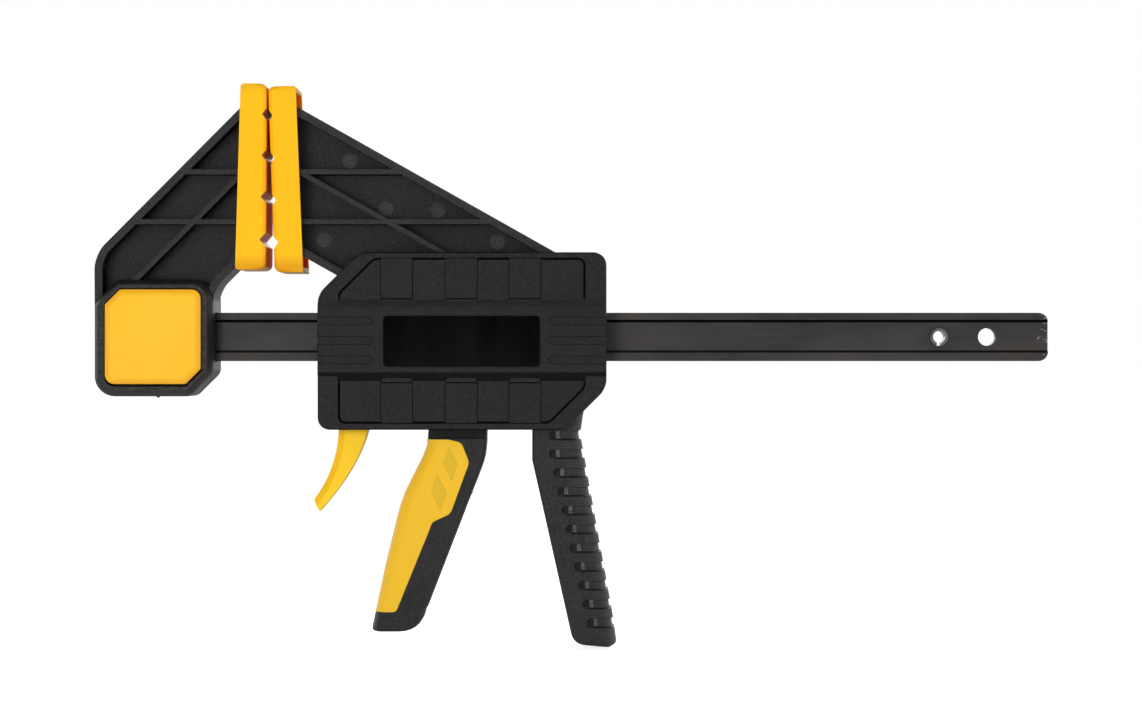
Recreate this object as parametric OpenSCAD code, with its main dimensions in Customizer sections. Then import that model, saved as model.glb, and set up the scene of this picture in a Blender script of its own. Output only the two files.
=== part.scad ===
// Quick release bar clamp, one-handed, with a removable fixed jaw.
// X runs along the bar to its free end, Z up to the jaw tips, the front is at -Y.
// The origin is on the bar's centreline, where the closed pads meet.

/* [Bar] */
// Length of the bar
bar_length = 435.2; // [425:0.1:900]
// Height of the bar
bar_height = 22.4; // [20:0.1:24]
// Thickness of the bar over its edges
bar_thickness = 8; // [7:0.1:9]
// Thickness of the bar's recessed middle
bar_web = 5; // [4:0.1:6]
// Height of each thick edge of the bar
bar_edge = 3.9; // [3:0.1:5]
// Height of the slope from each edge down to the recess
bar_slope = 1; // [0.4:0.1:1.5]
// Corner radius at the bar's ends
bar_corner = 3.8; // [1:0.1:4]
// Diameter of the cross holes in the bar
hole_d = 8.2; // [6:0.1:9]
// Distance from the free end to the outer hole
end_hole = 28.2; // [20:0.1:36]
// Distance from the outer hole to the stop pin's hole
hole_pitch = 22.3; // [16:0.1:30]
// Distance from the jaw end to the latch hole
latch_hole = 22.3; // [15:0.1:24]
// Length of the stop pin
stop_pin_length = 8; // [6:0.5:8]
// Wall of the stop pin
stop_pin_wall = 1.2; // [0.8:0.1:2]
// Slit in the stop pin
stop_pin_slit = 2.2; // [0.6:0.1:2.4]

/* [Pads] */
// Height of the pads' top above the bar's centre
pad_top = 116.4; // [110:0.1:125]
// Height of the pads
pad_height = 86.4; // [80:0.1:92]
// Drop of the moving pad below the fixed pad
pad_drop = 1.2; // [0:0.1:1.6]
// Depth of the pads, front to back
pad_depth = 30; // [27:0.5:34]
// Width of the fixed pad at its top
fixed_pad_w = 13.4; // [11:0.1:15]
// Width of the moving pad at its top
moving_pad_w = 12.4; // [11:0.1:15]
// Extra width of a pad at its foot
pad_taper = 0.9; // [0:0.1:2]
// Lean of the fixed pad's face, degrees
fixed_toe = 0.5; // [0:0.1:2]
// Lean of the moving pad's face, degrees
moving_toe = 1.6; // [0:0.1:2]
// Gap between the closed pads at their top
pad_gap = 0.6; // [0.3:0.1:1]
// Thickness behind the clamping face
pad_wall = 4.6; // [4:0.1:6]
// Thickness of the pad's front and rear sides
pad_side = 2.2; // [1.5:0.1:3]
// Thickness of the pad's top and foot
pad_cap = 2.3; // [1.5:0.1:3]
// Outer corner radius of the pads
pad_corner = 2.2; // [1:0.1:3]
// Number of V notches in each pad
notch_count = 4; // [1:1:4]
// Distance between the V notches
notch_pitch = 19.6; // [16:0.1:20]
// Depth of the V notches
notch_depth = 2.4; // [1:0.1:3.5]
// Height of the lowest notch above the pad's foot
notch_first = 14; // [8:0.1:18]

/* [Arms] */
// Depth of both arms, front to back
arm_depth = 24; // [22:0.5:25]
// Thickness of the arms' outer flanges
arm_flange = 3.6; // [2.5:0.1:5]
// Thickness of the arms' middle wall
arm_web = 4; // [3:0.1:6]
// Thickness of the arms' inner ribs
arm_rib = 2.3; // [1.5:0.1:3]
// Height of the upper level rib above the bar's centre
rib_high = 76; // [70:0.1:80]
// Height of the lower level rib above the bar's centre
rib_low = 53; // [48:0.1:60]
// Slope of the fixed jaw's outer edge, degrees
fixed_slope = 45.2; // [44:0.1:47]
// Slope of the moving jaw's outer edge, degrees
moving_slope = 29.4; // [28:0.1:31]
// Radius at the fixed jaw's shoulder
shoulder_r = 16; // [8:0.5:20]
// Radius inside the fixed jaw's throat
throat_r = 14; // [6:0.5:18]

/* [Fixed head] */
// Distance from the closed pads to the head
head_setback = 26.3; // [24:0.1:30]
// Width of the head
head_width = 54.7; // [52:0.1:60]
// Height of the head
head_height = 54; // [52:0.1:60]
// Depth of the head, front to back
head_depth = 34; // [33:0.5:38]
// Height of the head's top above the bar's centre
head_top = 26.5; // [25.5:0.1:29]
// Corner cut on the head
head_chamfer = 10.8; // [6:0.1:12]
// Corner radius on the head
head_corner = 9.3; // [4:0.1:9.5]
// Width of the slope round the head's front
head_slope_w = 2.5; // [1:0.1:2.8]
// Depth of the slope round the head's front
head_slope_d = 4.8; // [2:0.1:5]
// Thickness of the head's back cover
back_cover_t = 3; // [2.5:0.1:3.5]
// Width of the wall round the back cover
back_cover_rim = 4.4; // [3.5:0.1:5]
// Distance of each back cover screw from the latch
back_screw_offset = 17.5; // [16:0.1:19]

/* [Push button] */
// Width of the button
button_w = 44; // [40:0.1:45]
// Height of the button
button_h = 43.5; // [40:0.1:44]
// Distance from the head's outer side to the button
button_margin = 5.8; // [4:0.1:7]
// Corner cut on the button
button_chamfer = 6.8; // [4:0.1:9]
// Corner radius on the button
button_corner = 4.5; // [2:0.1:7]
// Height of the button above the head's front
button_proud = 2.5; // [1:0.1:4]
// Depth of the button's skirt
button_skirt = 6; // [5:0.1:7]
// Wall of the button
button_wall = 2.2; // [1.5:0.1:3]
// Travel of the button
button_travel = 5.2; // [5.1:0.1:5.5]
// Gap round the button
button_gap = 0.4; // [0.2:0.1:0.8]
// Width of the button's legs
leg_w = 8; // [5:0.5:12]
// Thickness of the button's legs
leg_t = 4; // [3:0.1:5]
// Diameter of the latch pin
latch_pin_d = 7.8; // [5:0.1:7.9]
// Diameter of the latch pin's riveted end
latch_rivet_d = 5; // [3:0.1:6]
// Thickness of the latch plate
latch_plate_t = 1.5; // [1:0.1:1.8]
// Width of the latch plate
latch_plate_w = 14; // [12:0.5:20]

/* [Housing] */
// Distance from the closed pads to the covers
cover_setback = 22.4; // [21:0.1:26]
// Width of the covers
cover_w = 132.4; // [130:0.1:140]
// Height of the covers
cover_h = 81.4; // [80:0.1:86]
// Height of the covers' top above the bar's centre
cover_top = 38.7; // [38:0.1:41]
// Depth over both covers
cover_depth = 40; // [40:0.5:46]
// Height of the raised band above the panels
band_rise = 2; // [1:0.1:2.5]
// Height of the band's top edge above the bar's centre
band_top = 13.6; // [12:0.1:15]
// Height of the band
band_h = 30.7; // [29:0.1:33]
// Height of the slope beside the band
band_slope = 2.9; // [1:0.1:4]
// Height of the rim round the panels
panel_rim = 1.1; // [0.5:0.1:1.5]
// Height of the blocks on the panels
block_rise = 0.4; // [0.2:0.1:0.8]
// Distance from the covers' jaw side to the panels
panel_side = 9.7; // [8:0.1:11]
// Distance from the covers' free side to the panels
panel_end = 10.3; // [9:0.1:12]
// Distance from the covers' top and foot to the panels
panel_edge = 2; // [1.5:0.1:3]
// Front wall of the covers
cover_wall = 2; // [1.8:0.1:2.5]
// Side wall of the covers
cover_rim = 3; // [2.5:0.1:4]
// Corner cut at the covers' jaw side
cover_chamfer = 19.4; // [16:0.1:22]
// Corner cut under the covers' free side
cover_undercut = 19; // [17:0.1:21]
// Corner radius at the covers' cut corners
cover_corner = 9.5; // [3:0.1:10]
// Step from the covers' edge to the frame
frame_step = 1; // [0.5:0.1:2]
// Wall of the frame round the mechanism
frame_wall = 4.2; // [3.5:0.1:5]
// Gap round the bar where it slides
bar_play = 0.25; // [0.15:0.05:0.3]
// Diameter of the cover screws
screw_d = 3.4; // [2.5:0.1:4]
// Diameter of the screw heads
screw_head_d = 6.4; // [5.5:0.1:7]
// Diameter of the screw bosses
boss_d = 9; // [8.5:0.1:10]

/* [Nameplate] */
// Width of the plate
plate_w = 71.8; // [60:0.1:72]
// Height of the plate
plate_h = 23.3; // [20:0.1:26]
// Thickness of the plate
plate_t = 1; // [0.6:0.1:1.4]
// Distance from the covers' side to the plate
plate_inset = 30.2; // [29.5:0.1:34]
// Corner radius of the plate
plate_corner = 1.8; // [0.5:0.1:4]

/* [Trigger] */
// Distance from the closed pads to the trigger pin
pivot_x = 85; // [83:0.1:87]
// Height of the trigger pin above the bar's centre
pivot_z = 22; // [20.5:0.1:23]
// Diameter of the trigger pin
pivot_d = 6; // [4:0.1:7]
// Radius of the trigger round its pin
fork_r = 8; // [6:0.1:9]
// Thickness of each side of the trigger's fork
fork_t = 4.4; // [3:0.1:4.5]
// Gap from the bar to the fork
fork_gap = 1; // [0.8:0.1:1.1]
// Radius of the fork's nose
nose_r = 4; // [3:0.1:5]
// Distance from the trigger pin to the top of the handle
handle_drop = 68.9; // [68:0.1:72]
// Length of the trigger's handle
handle_len = 89.1; // [80:0.1:100]
// Width of the trigger's handle at its top
handle_w = 27.3; // [25:0.1:29]
// Depth of the trigger's handle, front to back
handle_depth = 23; // [20:0.5:23.4]
// Rounding of the handle's finger side
handle_round = 8; // [5:0.1:9]
// Radius at the handle's lower palm corner
handle_foot_r = 10.5; // [1:0.5:11]
// Thickness of the yellow overmould
skin_t = 2.2; // [1.5:0.1:3]
// Thickness of the trigger's core inside the handle
core_t = 8; // [5:0.5:10]

/* [Drive and brake] */
// Thickness of a drive plate
drive_plate_t = 3; // [2:0.1:4]
// Width of a drive plate, front to back
drive_plate_w = 20; // [18:0.5:22]
// Height of a drive plate
drive_plate_h = 29; // [27:0.5:30]
// Gap from the bar to the plates
plate_play = 0.5; // [0.4:0.1:0.8]
// Wire of the drive spring
drive_wire = 2; // [1:0.1:2.2]
// Inner gap from the bar's corners to the drive spring
drive_coil_gap = 1.3; // [1:0.1:1.6]
// Distance from the closed pads to the brake plate's top
brake_x = 39.5; // [38:0.1:42]
// Height of the brake plate's top above the bar's centre
brake_z = 17; // [16.5:0.1:18]
// Thickness of the brake plate
brake_t = 3; // [2.5:0.1:3.5]
// Width of the brake plate, front to back
brake_w = 18; // [16:0.5:20]
// Lean of the brake plate at rest, degrees
brake_lean = 5; // [3:0.5:6]
// Width of the release lever, front to back
lever_w = 12; // [11:0.5:16]
// Distance from the brake plate's top down to the lever's tip
lever_len = 98; // [90:0.5:110]
// Reach of the lever's tip towards the jaws
lever_reach = 17.4; // [12:0.1:24]
// Width of the lever's neck
lever_neck = 13.9; // [12:0.1:14.2]
// Wire of the brake spring
brake_wire = 0.9; // [0.5:0.1:1.2]
// Outer diameter of the brake spring
brake_coil_d = 6.4; // [5:0.1:7]

/* [Fixed grip] */
// Depth of the fixed grip, front to back
grip_depth = 26; // [23:0.5:28]
// Length of the fixed grip below the covers
grip_len = 100.4; // [99:0.1:110]
// Width of the fixed grip at the covers
grip_w = 22.2; // [21.5:0.1:24]
// Reach of the grip's foot towards the free end
grip_reach = 19; // [18:0.1:20]
// Number of grooves in the grip
groove_count = 11; // [4:1:11]
// Distance between the grooves
groove_pitch = 8.75; // [8:0.05:9]
// Height of a groove
groove_h = 4.4; // [3:0.1:5]
// Depth of a groove
groove_depth = 1.2; // [0.6:0.1:2]
// Rounding of the grip's back edges
grip_round = 7; // [4:0.1:9]

/* [Hidden] */
$fn = 48;
big = 400;

// Clearances
press = 0.02;
run = 0.05;
seat = 0.15;
air = 0.3;

// Colours
black = "#2e2f30";
yellow = "#f9bb21";
steel = "#3b3a38";
bright = "#9a9c9e";

// Head and button places
head_x1 = -head_setback;
head_x0 = head_x1 - head_width;
head_z1 = head_top;
head_z0 = head_top - head_height;
head_y = head_depth / 2;
latch_x = head_x0 + button_margin + button_w / 2;
bar_x0 = latch_x - latch_hole;
bar_x1 = bar_x0 + bar_length;
outer_hole_x = bar_x1 - end_hole;
stop_x = outer_hole_x - hole_pitch;
bar_y = bar_thickness / 2;
bar_z = bar_height / 2;
recess_z = bar_z - bar_edge;
button_front = -head_y - button_proud;
button_back = button_front + button_skirt;
well_floor = button_back + button_travel + air;
latch_face = bar_y + 3;
latch_back = latch_face + latch_plate_t;
cover_face = head_y - back_cover_t;
leg_z = bar_z + 2.8;
latch_plate_h = 2 * (leg_z + leg_t + 1.5);
spring_recess = back_cover_t - 1.5;
latch_coil_r = 5.5;

// Pads: faces lean away from the closed plane towards their foot
pad_foot = pad_top - pad_height;
pad_y = pad_depth / 2;
function fixed_face(z) = -pad_gap / 2 - (pad_top - z) * tan(fixed_toe);
function moving_face(z) = pad_gap / 2 + (pad_top - z) * tan(moving_toe);
function notch_z(i) = pad_foot + notch_first + i * notch_pitch;
tongue_top = pad_top - pad_cap - seat;
tongue_foot = pad_foot + pad_cap + seat;
tongue_y = pad_y - pad_side - seat;
function fixed_tongue(z) = fixed_face(z) - pad_wall - seat;
function moving_tongue(z) = moving_face(z + pad_drop) + pad_wall + seat;
moving_foot = tongue_foot - pad_drop;
moving_top = tongue_top - pad_drop;

// Fixed arm: outer edge through the pad's top back corner
arm_y = arm_depth / 2;
fixed_crest = 119.4 + pad_top - 116.4;
function fixed_edge(x) = fixed_crest + x * tan(fixed_slope);
shoulder_z = fixed_edge(head_x0);
throat_x = fixed_face(pad_foot) - fixed_pad_w - pad_taper;
throat_z = tongue_foot - (throat_x - head_x1);

// Moving arm: outer and under edges run parallel
moving_crest = 112.9 + pad_top - 116.4;
moving_under = 45.6 + pad_foot - 30;
function moving_edge(x) = moving_crest - x * tan(moving_slope);
function under_edge(x) = moving_under - x * tan(moving_slope);

// Housing
cover_x0 = cover_setback;
cover_x1 = cover_x0 + cover_w;
cover_z1 = cover_top;
cover_z0 = cover_top - cover_h;
cover_y = cover_depth / 2;
panel_y = cover_y - band_rise;
pocket_y = panel_y - cover_wall;
band_z0 = band_top - band_h;
rim_y = panel_y + panel_rim;
panel_x0 = cover_x0 + panel_side;
panel_x1 = cover_x1 - panel_end;
panel_z0 = cover_z0 + panel_edge;
panel_z1 = cover_z1 - panel_edge;
panel_ease = 2.2;
panel_corner = max(cover_corner - 4, 1);
frame_x0 = cover_x0 + frame_step;
frame_x1 = cover_x1 - frame_step;
frame_z0 = cover_z0 + frame_step;
frame_z1 = cover_z1 - frame_step;
inner_z0 = frame_z0 + frame_wall;
inner_z1 = frame_z1 - frame_wall;
wall_x = pivot_x - 27;
wall_t = 4;
neck_gap = 0.6;
// keys in the housing's end wall, which run in the bar's recess and meet the stop pin
key_play = 0.4;
key_z = bar_z - bar_edge - bar_slope - key_play;

// Screw places in the housing
screw_inset = cover_rim + boss_d / 2 - 0.8;
screw_places = [
    [cover_x0 + cover_chamfer + 5.1, cover_z1 - screw_inset],
    [cover_x1 - screw_inset, cover_z1 - screw_inset],
    [wall_x + wall_t / 2 + 3, cover_z0 + screw_inset],
    [cover_x1 - cover_undercut - 8.2, cover_z0 + screw_inset]];
screw_seat = panel_y - 3;
screw_tip = -panel_y + 1.6;
screw_core = 0.4;

// Nameplate place
plate_x0 = cover_x0 + plate_inset;
plate_z1 = band_top - 4.1;
plate_z0 = plate_z1 - plate_h;

// Trigger: nose at the bar's centre height pushes the drive plates
fork_in = bar_y + fork_gap;
fork_out = fork_in + fork_t;
nose_x = pivot_x + 6.5;
drive_x = nose_x + nose_r + air;
drive_gap = 0.2;
drive_hole = bar_z + plate_play;
drive_coil_r = norm([bar_y, bar_z]) + drive_coil_gap + drive_wire / 2;
drive_coil_x = drive_x + 2 * drive_plate_t + drive_gap;
handle_y = handle_depth / 2;
// Handle outline from its top: shares of its length and of its top width
handle_shape = [[0, -0.476, 0.535], [0.085, -0.542, 0.511], [0.278, -0.859, 0.284],
    [0.416, -0.996, 0.11], [0.905, -1.359, -0.509], [1, -1.414, -0.63]];
function handle_at(t, w) = [pivot_x + w * handle_w, neck_z - t * handle_len];
neck_z = pivot_z - handle_drop;

// Brake: the plate leans with its foot towards the jaws
brake_coil_z = -bar_z - brake_coil_d / 2 - 2.2;
brake_foot = brake_coil_z - brake_coil_d / 2 - 0.4;
tongue_len = 7.5;
lever_top = brake_foot - seat;

// Fixed grip, from the housing's under side
grip_x = cover_x1 - grip_w - 12;
grip_z = cover_z0;

// Geometry helpers: points are [x, z, radius], counter-clockwise
function unit(v) = v / norm(v);
function xy(p) = [p[0], p[1]];
function turn(a, b, c) = cross(b - a, c - b);
function corner(a, b, c, r, n) =
    let (u = unit(a - b), w = unit(c - b), h = acos(u * w) / 2)
    let (s = b + u * r / tan(h), e = b + w * r / tan(h))
    let (m = b + unit(u + w) * r / sin(h))
    let (p = atan2(s[1] - m[1], s[0] - m[0]))
    let (q = atan2(e[1] - m[1], e[0] - m[0]))
    let (d = (q - p + 900) % 360 - 180)
    [for (i = [0:n]) m + r * [cos(p + d * i / n), sin(p + d * i / n)]];
function at(list, i) = list[(i + len(list)) % len(list)];
function rounded(p) = [for (i = [0:len(p) - 1])
    each (len(p[i]) > 2 && p[i][2] > 0 ?
        corner(xy(at(p, i - 1)), xy(p[i]), xy(at(p, i + 1)), p[i][2], 6) :
        [xy(p[i])])];
function left(a, b) = unit([a[1] - b[1], b[0] - a[0]]);
function meet(p, u, q, v) = p + u * cross(q - p, v) / cross(u, v);
function inset(p, d) = [for (i = [0:len(p) - 1])
    let (a = xy(at(p, i - 1)), b = xy(p[i]), c = xy(at(p, i + 1)))
    let (m = meet(a + left(a, b) * d, b - a, b + left(b, c) * d, c - b))
    let (bend = turn(a, b, c) > 0 ? -d : d)
    [m[0], m[1], p[i][2] > 0 ? max(p[i][2] + bend, 0.3) : 0]];
function box_points(x0, z0, x1, z1, r) =
    [[x0, z0, r], [x1, z0, r], [x1, z1, r], [x0, z1, r]];
function curve(a, b, c, n) = [for (i = [0:n]) let (t = i / n)
    (1 - t) * (1 - t) * a + 2 * t * (1 - t) * b + t * t * c];

module slab(points, y0, y1) {
    translate([0, y1, 0])
    rotate([90, 0, 0])
    linear_extrude(y1 - y0)
    polygon(rounded(points));
}
module rod(x, z, r, y0, y1) {
    translate([x, y1, z])
    rotate([90, 0, 0])
    cylinder(h = y1 - y0, r = r);
}
module block(x0, x1, y0, y1, z0, z1) {
    translate([x0, y0, z0])
    cube([x1 - x0, y1 - y0, z1 - z0]);
}
module strip(a, b, t, y0, y1) {
    n = left(a, b) * t / 2;
    slab([a - n, b - n, b + n, a + n], y0, y1);
}
module both() {
    children();
    mirror([0, 1, 0]) children();
}
// Wire coil along Z with one closed turn at each end
module coil(r0, r1, wire, length, turns, steps) {
    sides = 6;
    rise = length - wire;
    count = turns * steps;
    function lift(t) = t < 1 ? wire * t :
        t > turns - 1 ? rise - wire * (turns - t) :
        wire + (t - 1) * (rise - 2 * wire) / (turns - 2);
    function ring(k) = let (t = k / steps, a = 360 * t)
        let (r = r0 + (r1 - r0) * t / turns)
        [for (j = [0:sides - 1]) let (b = 360 * j / sides)
            let (q = r + wire / 2 * cos(b))
            [q * cos(a), q * sin(a), wire / 2 + lift(t) + wire / 2 * sin(b)]];
    points = [for (k = [0:count]) each ring(k)];
    walls = [for (k = [0:count - 1], j = [0:sides - 1])
        let (m = (j + 1) % sides, o = k * sides)
        [o + j, o + sides + j, o + sides + m, o + m]];
    polyhedron(points, concat(walls,
        [[for (j = [0:sides - 1]) j]],
        [[for (j = [0:sides - 1]) count * sides + sides - 1 - j]]), 4);
}

module bar() {
    color(steel)
    difference() {
        slab(box_points(bar_x0, -bar_z, bar_x1, bar_z, bar_corner), -bar_y, bar_y);
        both()
            translate([bar_x0 - 1, 0, 0])
            rotate([90, 0, 90])
            linear_extrude(bar_length + 2)
            polygon([[bar_web / 2, bar_slope - recess_z], [bar_y, -recess_z],
                [bar_y + 1, -recess_z], [bar_y + 1, recess_z], [bar_y, recess_z],
                [bar_web / 2, recess_z - bar_slope]]);
        for (x = [outer_hole_x, stop_x, latch_x])
            rod(x, 0, hole_d / 2, -bar_y - 1, bar_y + 1);
    }
}

module stop_pin() {
    r = hole_d / 2 - press;
    y = stop_pin_length / 2;
    color(bright)
    difference() {
        rod(stop_x, 0, r, -y, y);
        rod(stop_x, 0, r - stop_pin_wall, -y - 1, y + 1);
        block(stop_x - stop_pin_slit / 2, stop_x + stop_pin_slit / 2,
            -y - 1, y + 1, -r - 1, 0);
    }
}

// Outlines of the fixed jaw
arm_outline = [
    [head_x0, head_z0 + head_height / 2, 0],
    [head_x1, head_z0 + head_height / 2, 0],
    [head_x1, throat_z, throat_r],
    [throat_x, tongue_foot, 0],
    [fixed_tongue(tongue_foot), tongue_foot, 0],
    [fixed_tongue(tongue_top), tongue_top, 0],
    [min((tongue_top - fixed_crest) / tan(fixed_slope),
        fixed_tongue(tongue_top) - 0.2), tongue_top, 0],
    [head_x0, shoulder_z, shoulder_r]];
// the same outline with a sharp tip, which the pockets are inset from
arm_lines = [
    [head_x0, head_z0 + head_height / 2, 0],
    [head_x1, head_z0 + head_height / 2, 0],
    [head_x1, throat_z, throat_r],
    [throat_x, tongue_foot, 0],
    [fixed_tongue(tongue_foot), tongue_foot, 0],
    [fixed_tongue(tongue_top), fixed_edge(fixed_tongue(tongue_top)), 0],
    [head_x0, shoulder_z, shoulder_r]];
head_outline = [
    [head_x0, head_z0, head_corner],
    [head_x1 - head_chamfer, head_z0, 1],
    [head_x1, head_z0 + head_chamfer, 1],
    [head_x1, head_z1, head_corner],
    [head_x0 + head_chamfer, head_z1, 1.5],
    [head_x0, head_z1 - head_chamfer, 1.5]];
function button_outline(g) = [
    [latch_x - button_w / 2 - g, -button_h / 2 - g, button_corner + g],
    [latch_x + button_w / 2 - button_chamfer, -button_h / 2 - g, 1],
    [latch_x + button_w / 2 + g, -button_h / 2 + button_chamfer, 1],
    [latch_x + button_w / 2 + g, button_h / 2 + g, button_corner + g],
    [latch_x - button_w / 2 + button_chamfer, button_h / 2 + g, 1],
    [latch_x - button_w / 2 - g, button_h / 2 - button_chamfer, 1]];
back_outline = inset(head_outline, back_cover_rim);

module fixed_arm() {
    slab(arm_outline, -arm_web / 2, arm_web / 2);
    difference() {
        slab(arm_outline, -arm_y, arm_y);
        intersection() {
            slab(inset(arm_lines, arm_flange), -arm_y - 1, arm_y + 1);
            block(-big, big, -arm_y - 1, arm_y + 1, head_z1, big);
        }
    }
    intersection() {
        slab(inset(arm_lines, arm_flange / 2), -arm_y, arm_y);
        union() {
            for (z = [rib_high, rib_low])
                block(head_x0, fixed_tongue(z), -arm_y, arm_y,
                    z - arm_rib / 2, z + arm_rib / 2);
            strip([throat_x - big, rib_high - 3 - big],
                [throat_x + 4, rib_high + 1], arm_rib, -arm_y, arm_y);
        }
    }
}

// Wedge off the front edge at a point of the head's outline, facing that way
module edge_wedge(p, facing) {
    w = head_slope_w;
    d = head_slope_d;
    translate([p[0], 0, p[1]])
    rotate([0, -facing, 0])
    translate([0, 0, -big / 2])
    linear_extrude(big)
    polygon([[-2 * w, -head_y - d], [w, -head_y - d], [w, -head_y + 2 * d]]);
}
module head() {
    arc = head_corner * (1 - sqrt(0.5));
    difference() {
        slab(head_outline, -head_y, head_y);
        edge_wedge([head_x0, head_z0], 180);
        edge_wedge([head_x0, head_z0], -90);
        edge_wedge([head_x1, head_z1], 0);
        edge_wedge([head_x1, head_z1], 90);
        edge_wedge([head_x0 + head_chamfer, head_z1], 135);
        edge_wedge([head_x1 - head_chamfer, head_z0], -45);
        edge_wedge([head_x1 - arc, head_z1 - arc], 45);
        edge_wedge([head_x0 + arc, head_z0 + arc], -135);
    }
}

module fixed_jaw() {
    g = seat + run;
    color(black)
    difference() {
        union() {
            fixed_arm();
            head();
        }
        slab(button_outline(button_gap), -head_y - 1, well_floor);
        block(bar_x0 - air, 0, -bar_y - g, bar_y + g, -bar_z - g, bar_z + g);
        for (s = [-1, 1])
            translate([latch_x, 0, s * (leg_z + leg_t / 2)])
            cube([leg_w + 2 * air, head_depth, leg_t + 2 * air], center = true);
        rod(latch_x, 0, latch_pin_d / 2 + air, bar_y, head_y);
        block(latch_x - latch_plate_w / 2 - air, latch_x + latch_plate_w / 2 + air,
            latch_face - 0.2, head_y, -latch_plate_h / 2 - air,
            latch_plate_h / 2 + air);
        slab(back_outline, cover_face - run, head_y + 1);
        for (s = [-1, 1])
            rod(latch_x + s * back_screw_offset, 0, screw_d / 2 - screw_core,
                bar_y + 2, head_y);
    }
}

module back_cover() {
    color(black)
    difference() {
        slab(inset(back_outline, seat), cover_face, head_y);
        rod(latch_x, 0, latch_coil_r + 2, cover_face - 1, cover_face + spring_recess);
        for (s = [-1, 1]) {
            rod(latch_x + s * back_screw_offset, 0, screw_d / 2 + seat,
                cover_face - 1, head_y + 1);
            rod(latch_x + s * back_screw_offset, 0, screw_head_d / 2 + seat,
                head_y - 1.6, head_y + 1);
        }
    }
}

module screw(x, z, y_head, y_tip) {
    color(bright)
    difference() {
        union() {
            rod(x, z, screw_d / 2 - screw_core, y_tip, y_head + 0.1);
            rod(x, z, screw_head_d / 2, y_head, y_head + 1.5);
        }
        block(x - 1.8, x + 1.8, y_head + 0.8, y_head + 2, z - 0.35, z + 0.35);
        block(x - 0.35, x + 0.35, y_head + 0.8, y_head + 2, z - 1.8, z + 1.8);
    }
}

// Pad in the fixed jaw's sense: solid sheath open towards the arm
module sheath(face, tongue, side, w) {
    foot = face[0];
    top = face[1];
    back_foot = foot + side * (w + pad_taper);
    back_top = top + side * w;
    outline = side < 0 ?
        [[back_foot, pad_foot, pad_corner], [foot, pad_foot, pad_corner],
            [top, pad_top, pad_corner], [back_top, pad_top, pad_corner]] :
        [[foot, pad_foot, pad_corner], [back_foot, pad_foot, pad_corner],
            [back_top, pad_top, pad_corner], [top, pad_top, pad_corner]];
    z0 = pad_foot + pad_cap;
    z1 = pad_top - pad_cap;
    in_foot = foot + side * pad_wall;
    in_top = top + side * pad_wall;
    hollow = side < 0 ?
        [[-w - 9, z0, 0], [in_foot, z0, 0], [in_top, z1, 0], [-w - 9, z1, 0]] :
        [[in_foot, z0, 0], [w + 9, z0, 0], [w + 9, z1, 0], [in_top, z1, 0]];
    color(yellow)
    difference() {
        slab(outline, -pad_y, pad_y);
        slab(hollow, pad_side - pad_y, pad_y - pad_side);
        for (i = [0:notch_count - 1]) {
            z = notch_z(i);
            x = foot + (top - foot) * (z - pad_foot) / pad_height;
            translate([x, 0, z])
            rotate([0, 45, 0])
            cube([notch_depth * sqrt(2), pad_depth + 2, notch_depth * sqrt(2)],
                center = true);
        }
    }
}
module fixed_pad() {
    sheath([fixed_face(pad_foot), fixed_face(pad_top)], 0, -1, fixed_pad_w);
}
module moving_pad() {
    translate([0, 0, -pad_drop])
    sheath([moving_face(pad_foot), moving_face(pad_top)], 0, 1, moving_pad_w);
}

module release_button() {
    color(yellow) {
        difference() {
            slab(button_outline(0), button_front, button_back);
            slab(inset(button_outline(0), button_wall),
                button_front + button_wall, button_back + 1);
        }
        for (s = [-1, 1])
            block(latch_x - leg_w / 2, latch_x + leg_w / 2,
                button_front + button_wall / 2, latch_face,
                s > 0 ? leg_z : -leg_z - leg_t, s > 0 ? leg_z + leg_t : -leg_z);
    }
}

module latch_plate() {
    color(bright)
    difference() {
        slab(box_points(latch_x - latch_plate_w / 2, -latch_plate_h / 2,
            latch_x + latch_plate_w / 2, latch_plate_h / 2, 2), latch_face, latch_back);
        rod(latch_x, 0, latch_rivet_d / 2, latch_face - 1, latch_back + 1);
    }
}

module latch_pin() {
    color(bright) {
        rod(latch_x, 0, latch_pin_d / 2, 0.2 - bar_web / 2, latch_face);
        rod(latch_x, 0, latch_rivet_d / 2 - press, latch_face - 1, latch_back);
    }
}

module latch_spring() {
    color(bright)
    translate([latch_x, latch_back, 0])
    rotate([-90, 0, 0])
    coil(latch_coil_r, latch_coil_r - 2, 0.7,
        cover_face + spring_recess - latch_back, 4, 16);
}

// Outlines of the moving jaw
cover_outline = [
    [cover_x0, cover_z0, 5.5],
    [cover_x1 - cover_undercut, cover_z0, cover_corner],
    [cover_x1, cover_z0 + cover_undercut, cover_corner],
    [cover_x1, cover_z1, 6],
    [cover_x0 + cover_chamfer, cover_z1, cover_corner],
    [cover_x0, cover_z1 - cover_chamfer, cover_corner]];
frame_outline = inset(cover_outline, frame_step);
moving_outline = [
    [moving_tongue(moving_foot), moving_foot, 0],
    [moving_tongue(moving_foot) + 4, moving_foot, 0],
    [moving_tongue(moving_foot) + 4, under_edge(moving_tongue(moving_foot) + 4), 0],
    [frame_x0 + 18, under_edge(frame_x0 + 18), 0],
    [frame_x1 - 30, under_edge(frame_x0 + 18), 0],
    [(moving_crest - inner_z1) / tan(moving_slope), inner_z1, 0],
    [moving_tongue(moving_top), moving_edge(moving_tongue(moving_top)), 0]];
moving_lines = [
    [moving_tongue(moving_foot), under_edge(moving_tongue(moving_foot)), 0],
    [frame_x0 + 18, under_edge(frame_x0 + 18), 0],
    [frame_x1 - 30, under_edge(frame_x0 + 18), 0],
    [(moving_crest - inner_z1) / tan(moving_slope), inner_z1, 0],
    [moving_tongue(moving_top), moving_edge(moving_tongue(moving_top)), 0]];
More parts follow.
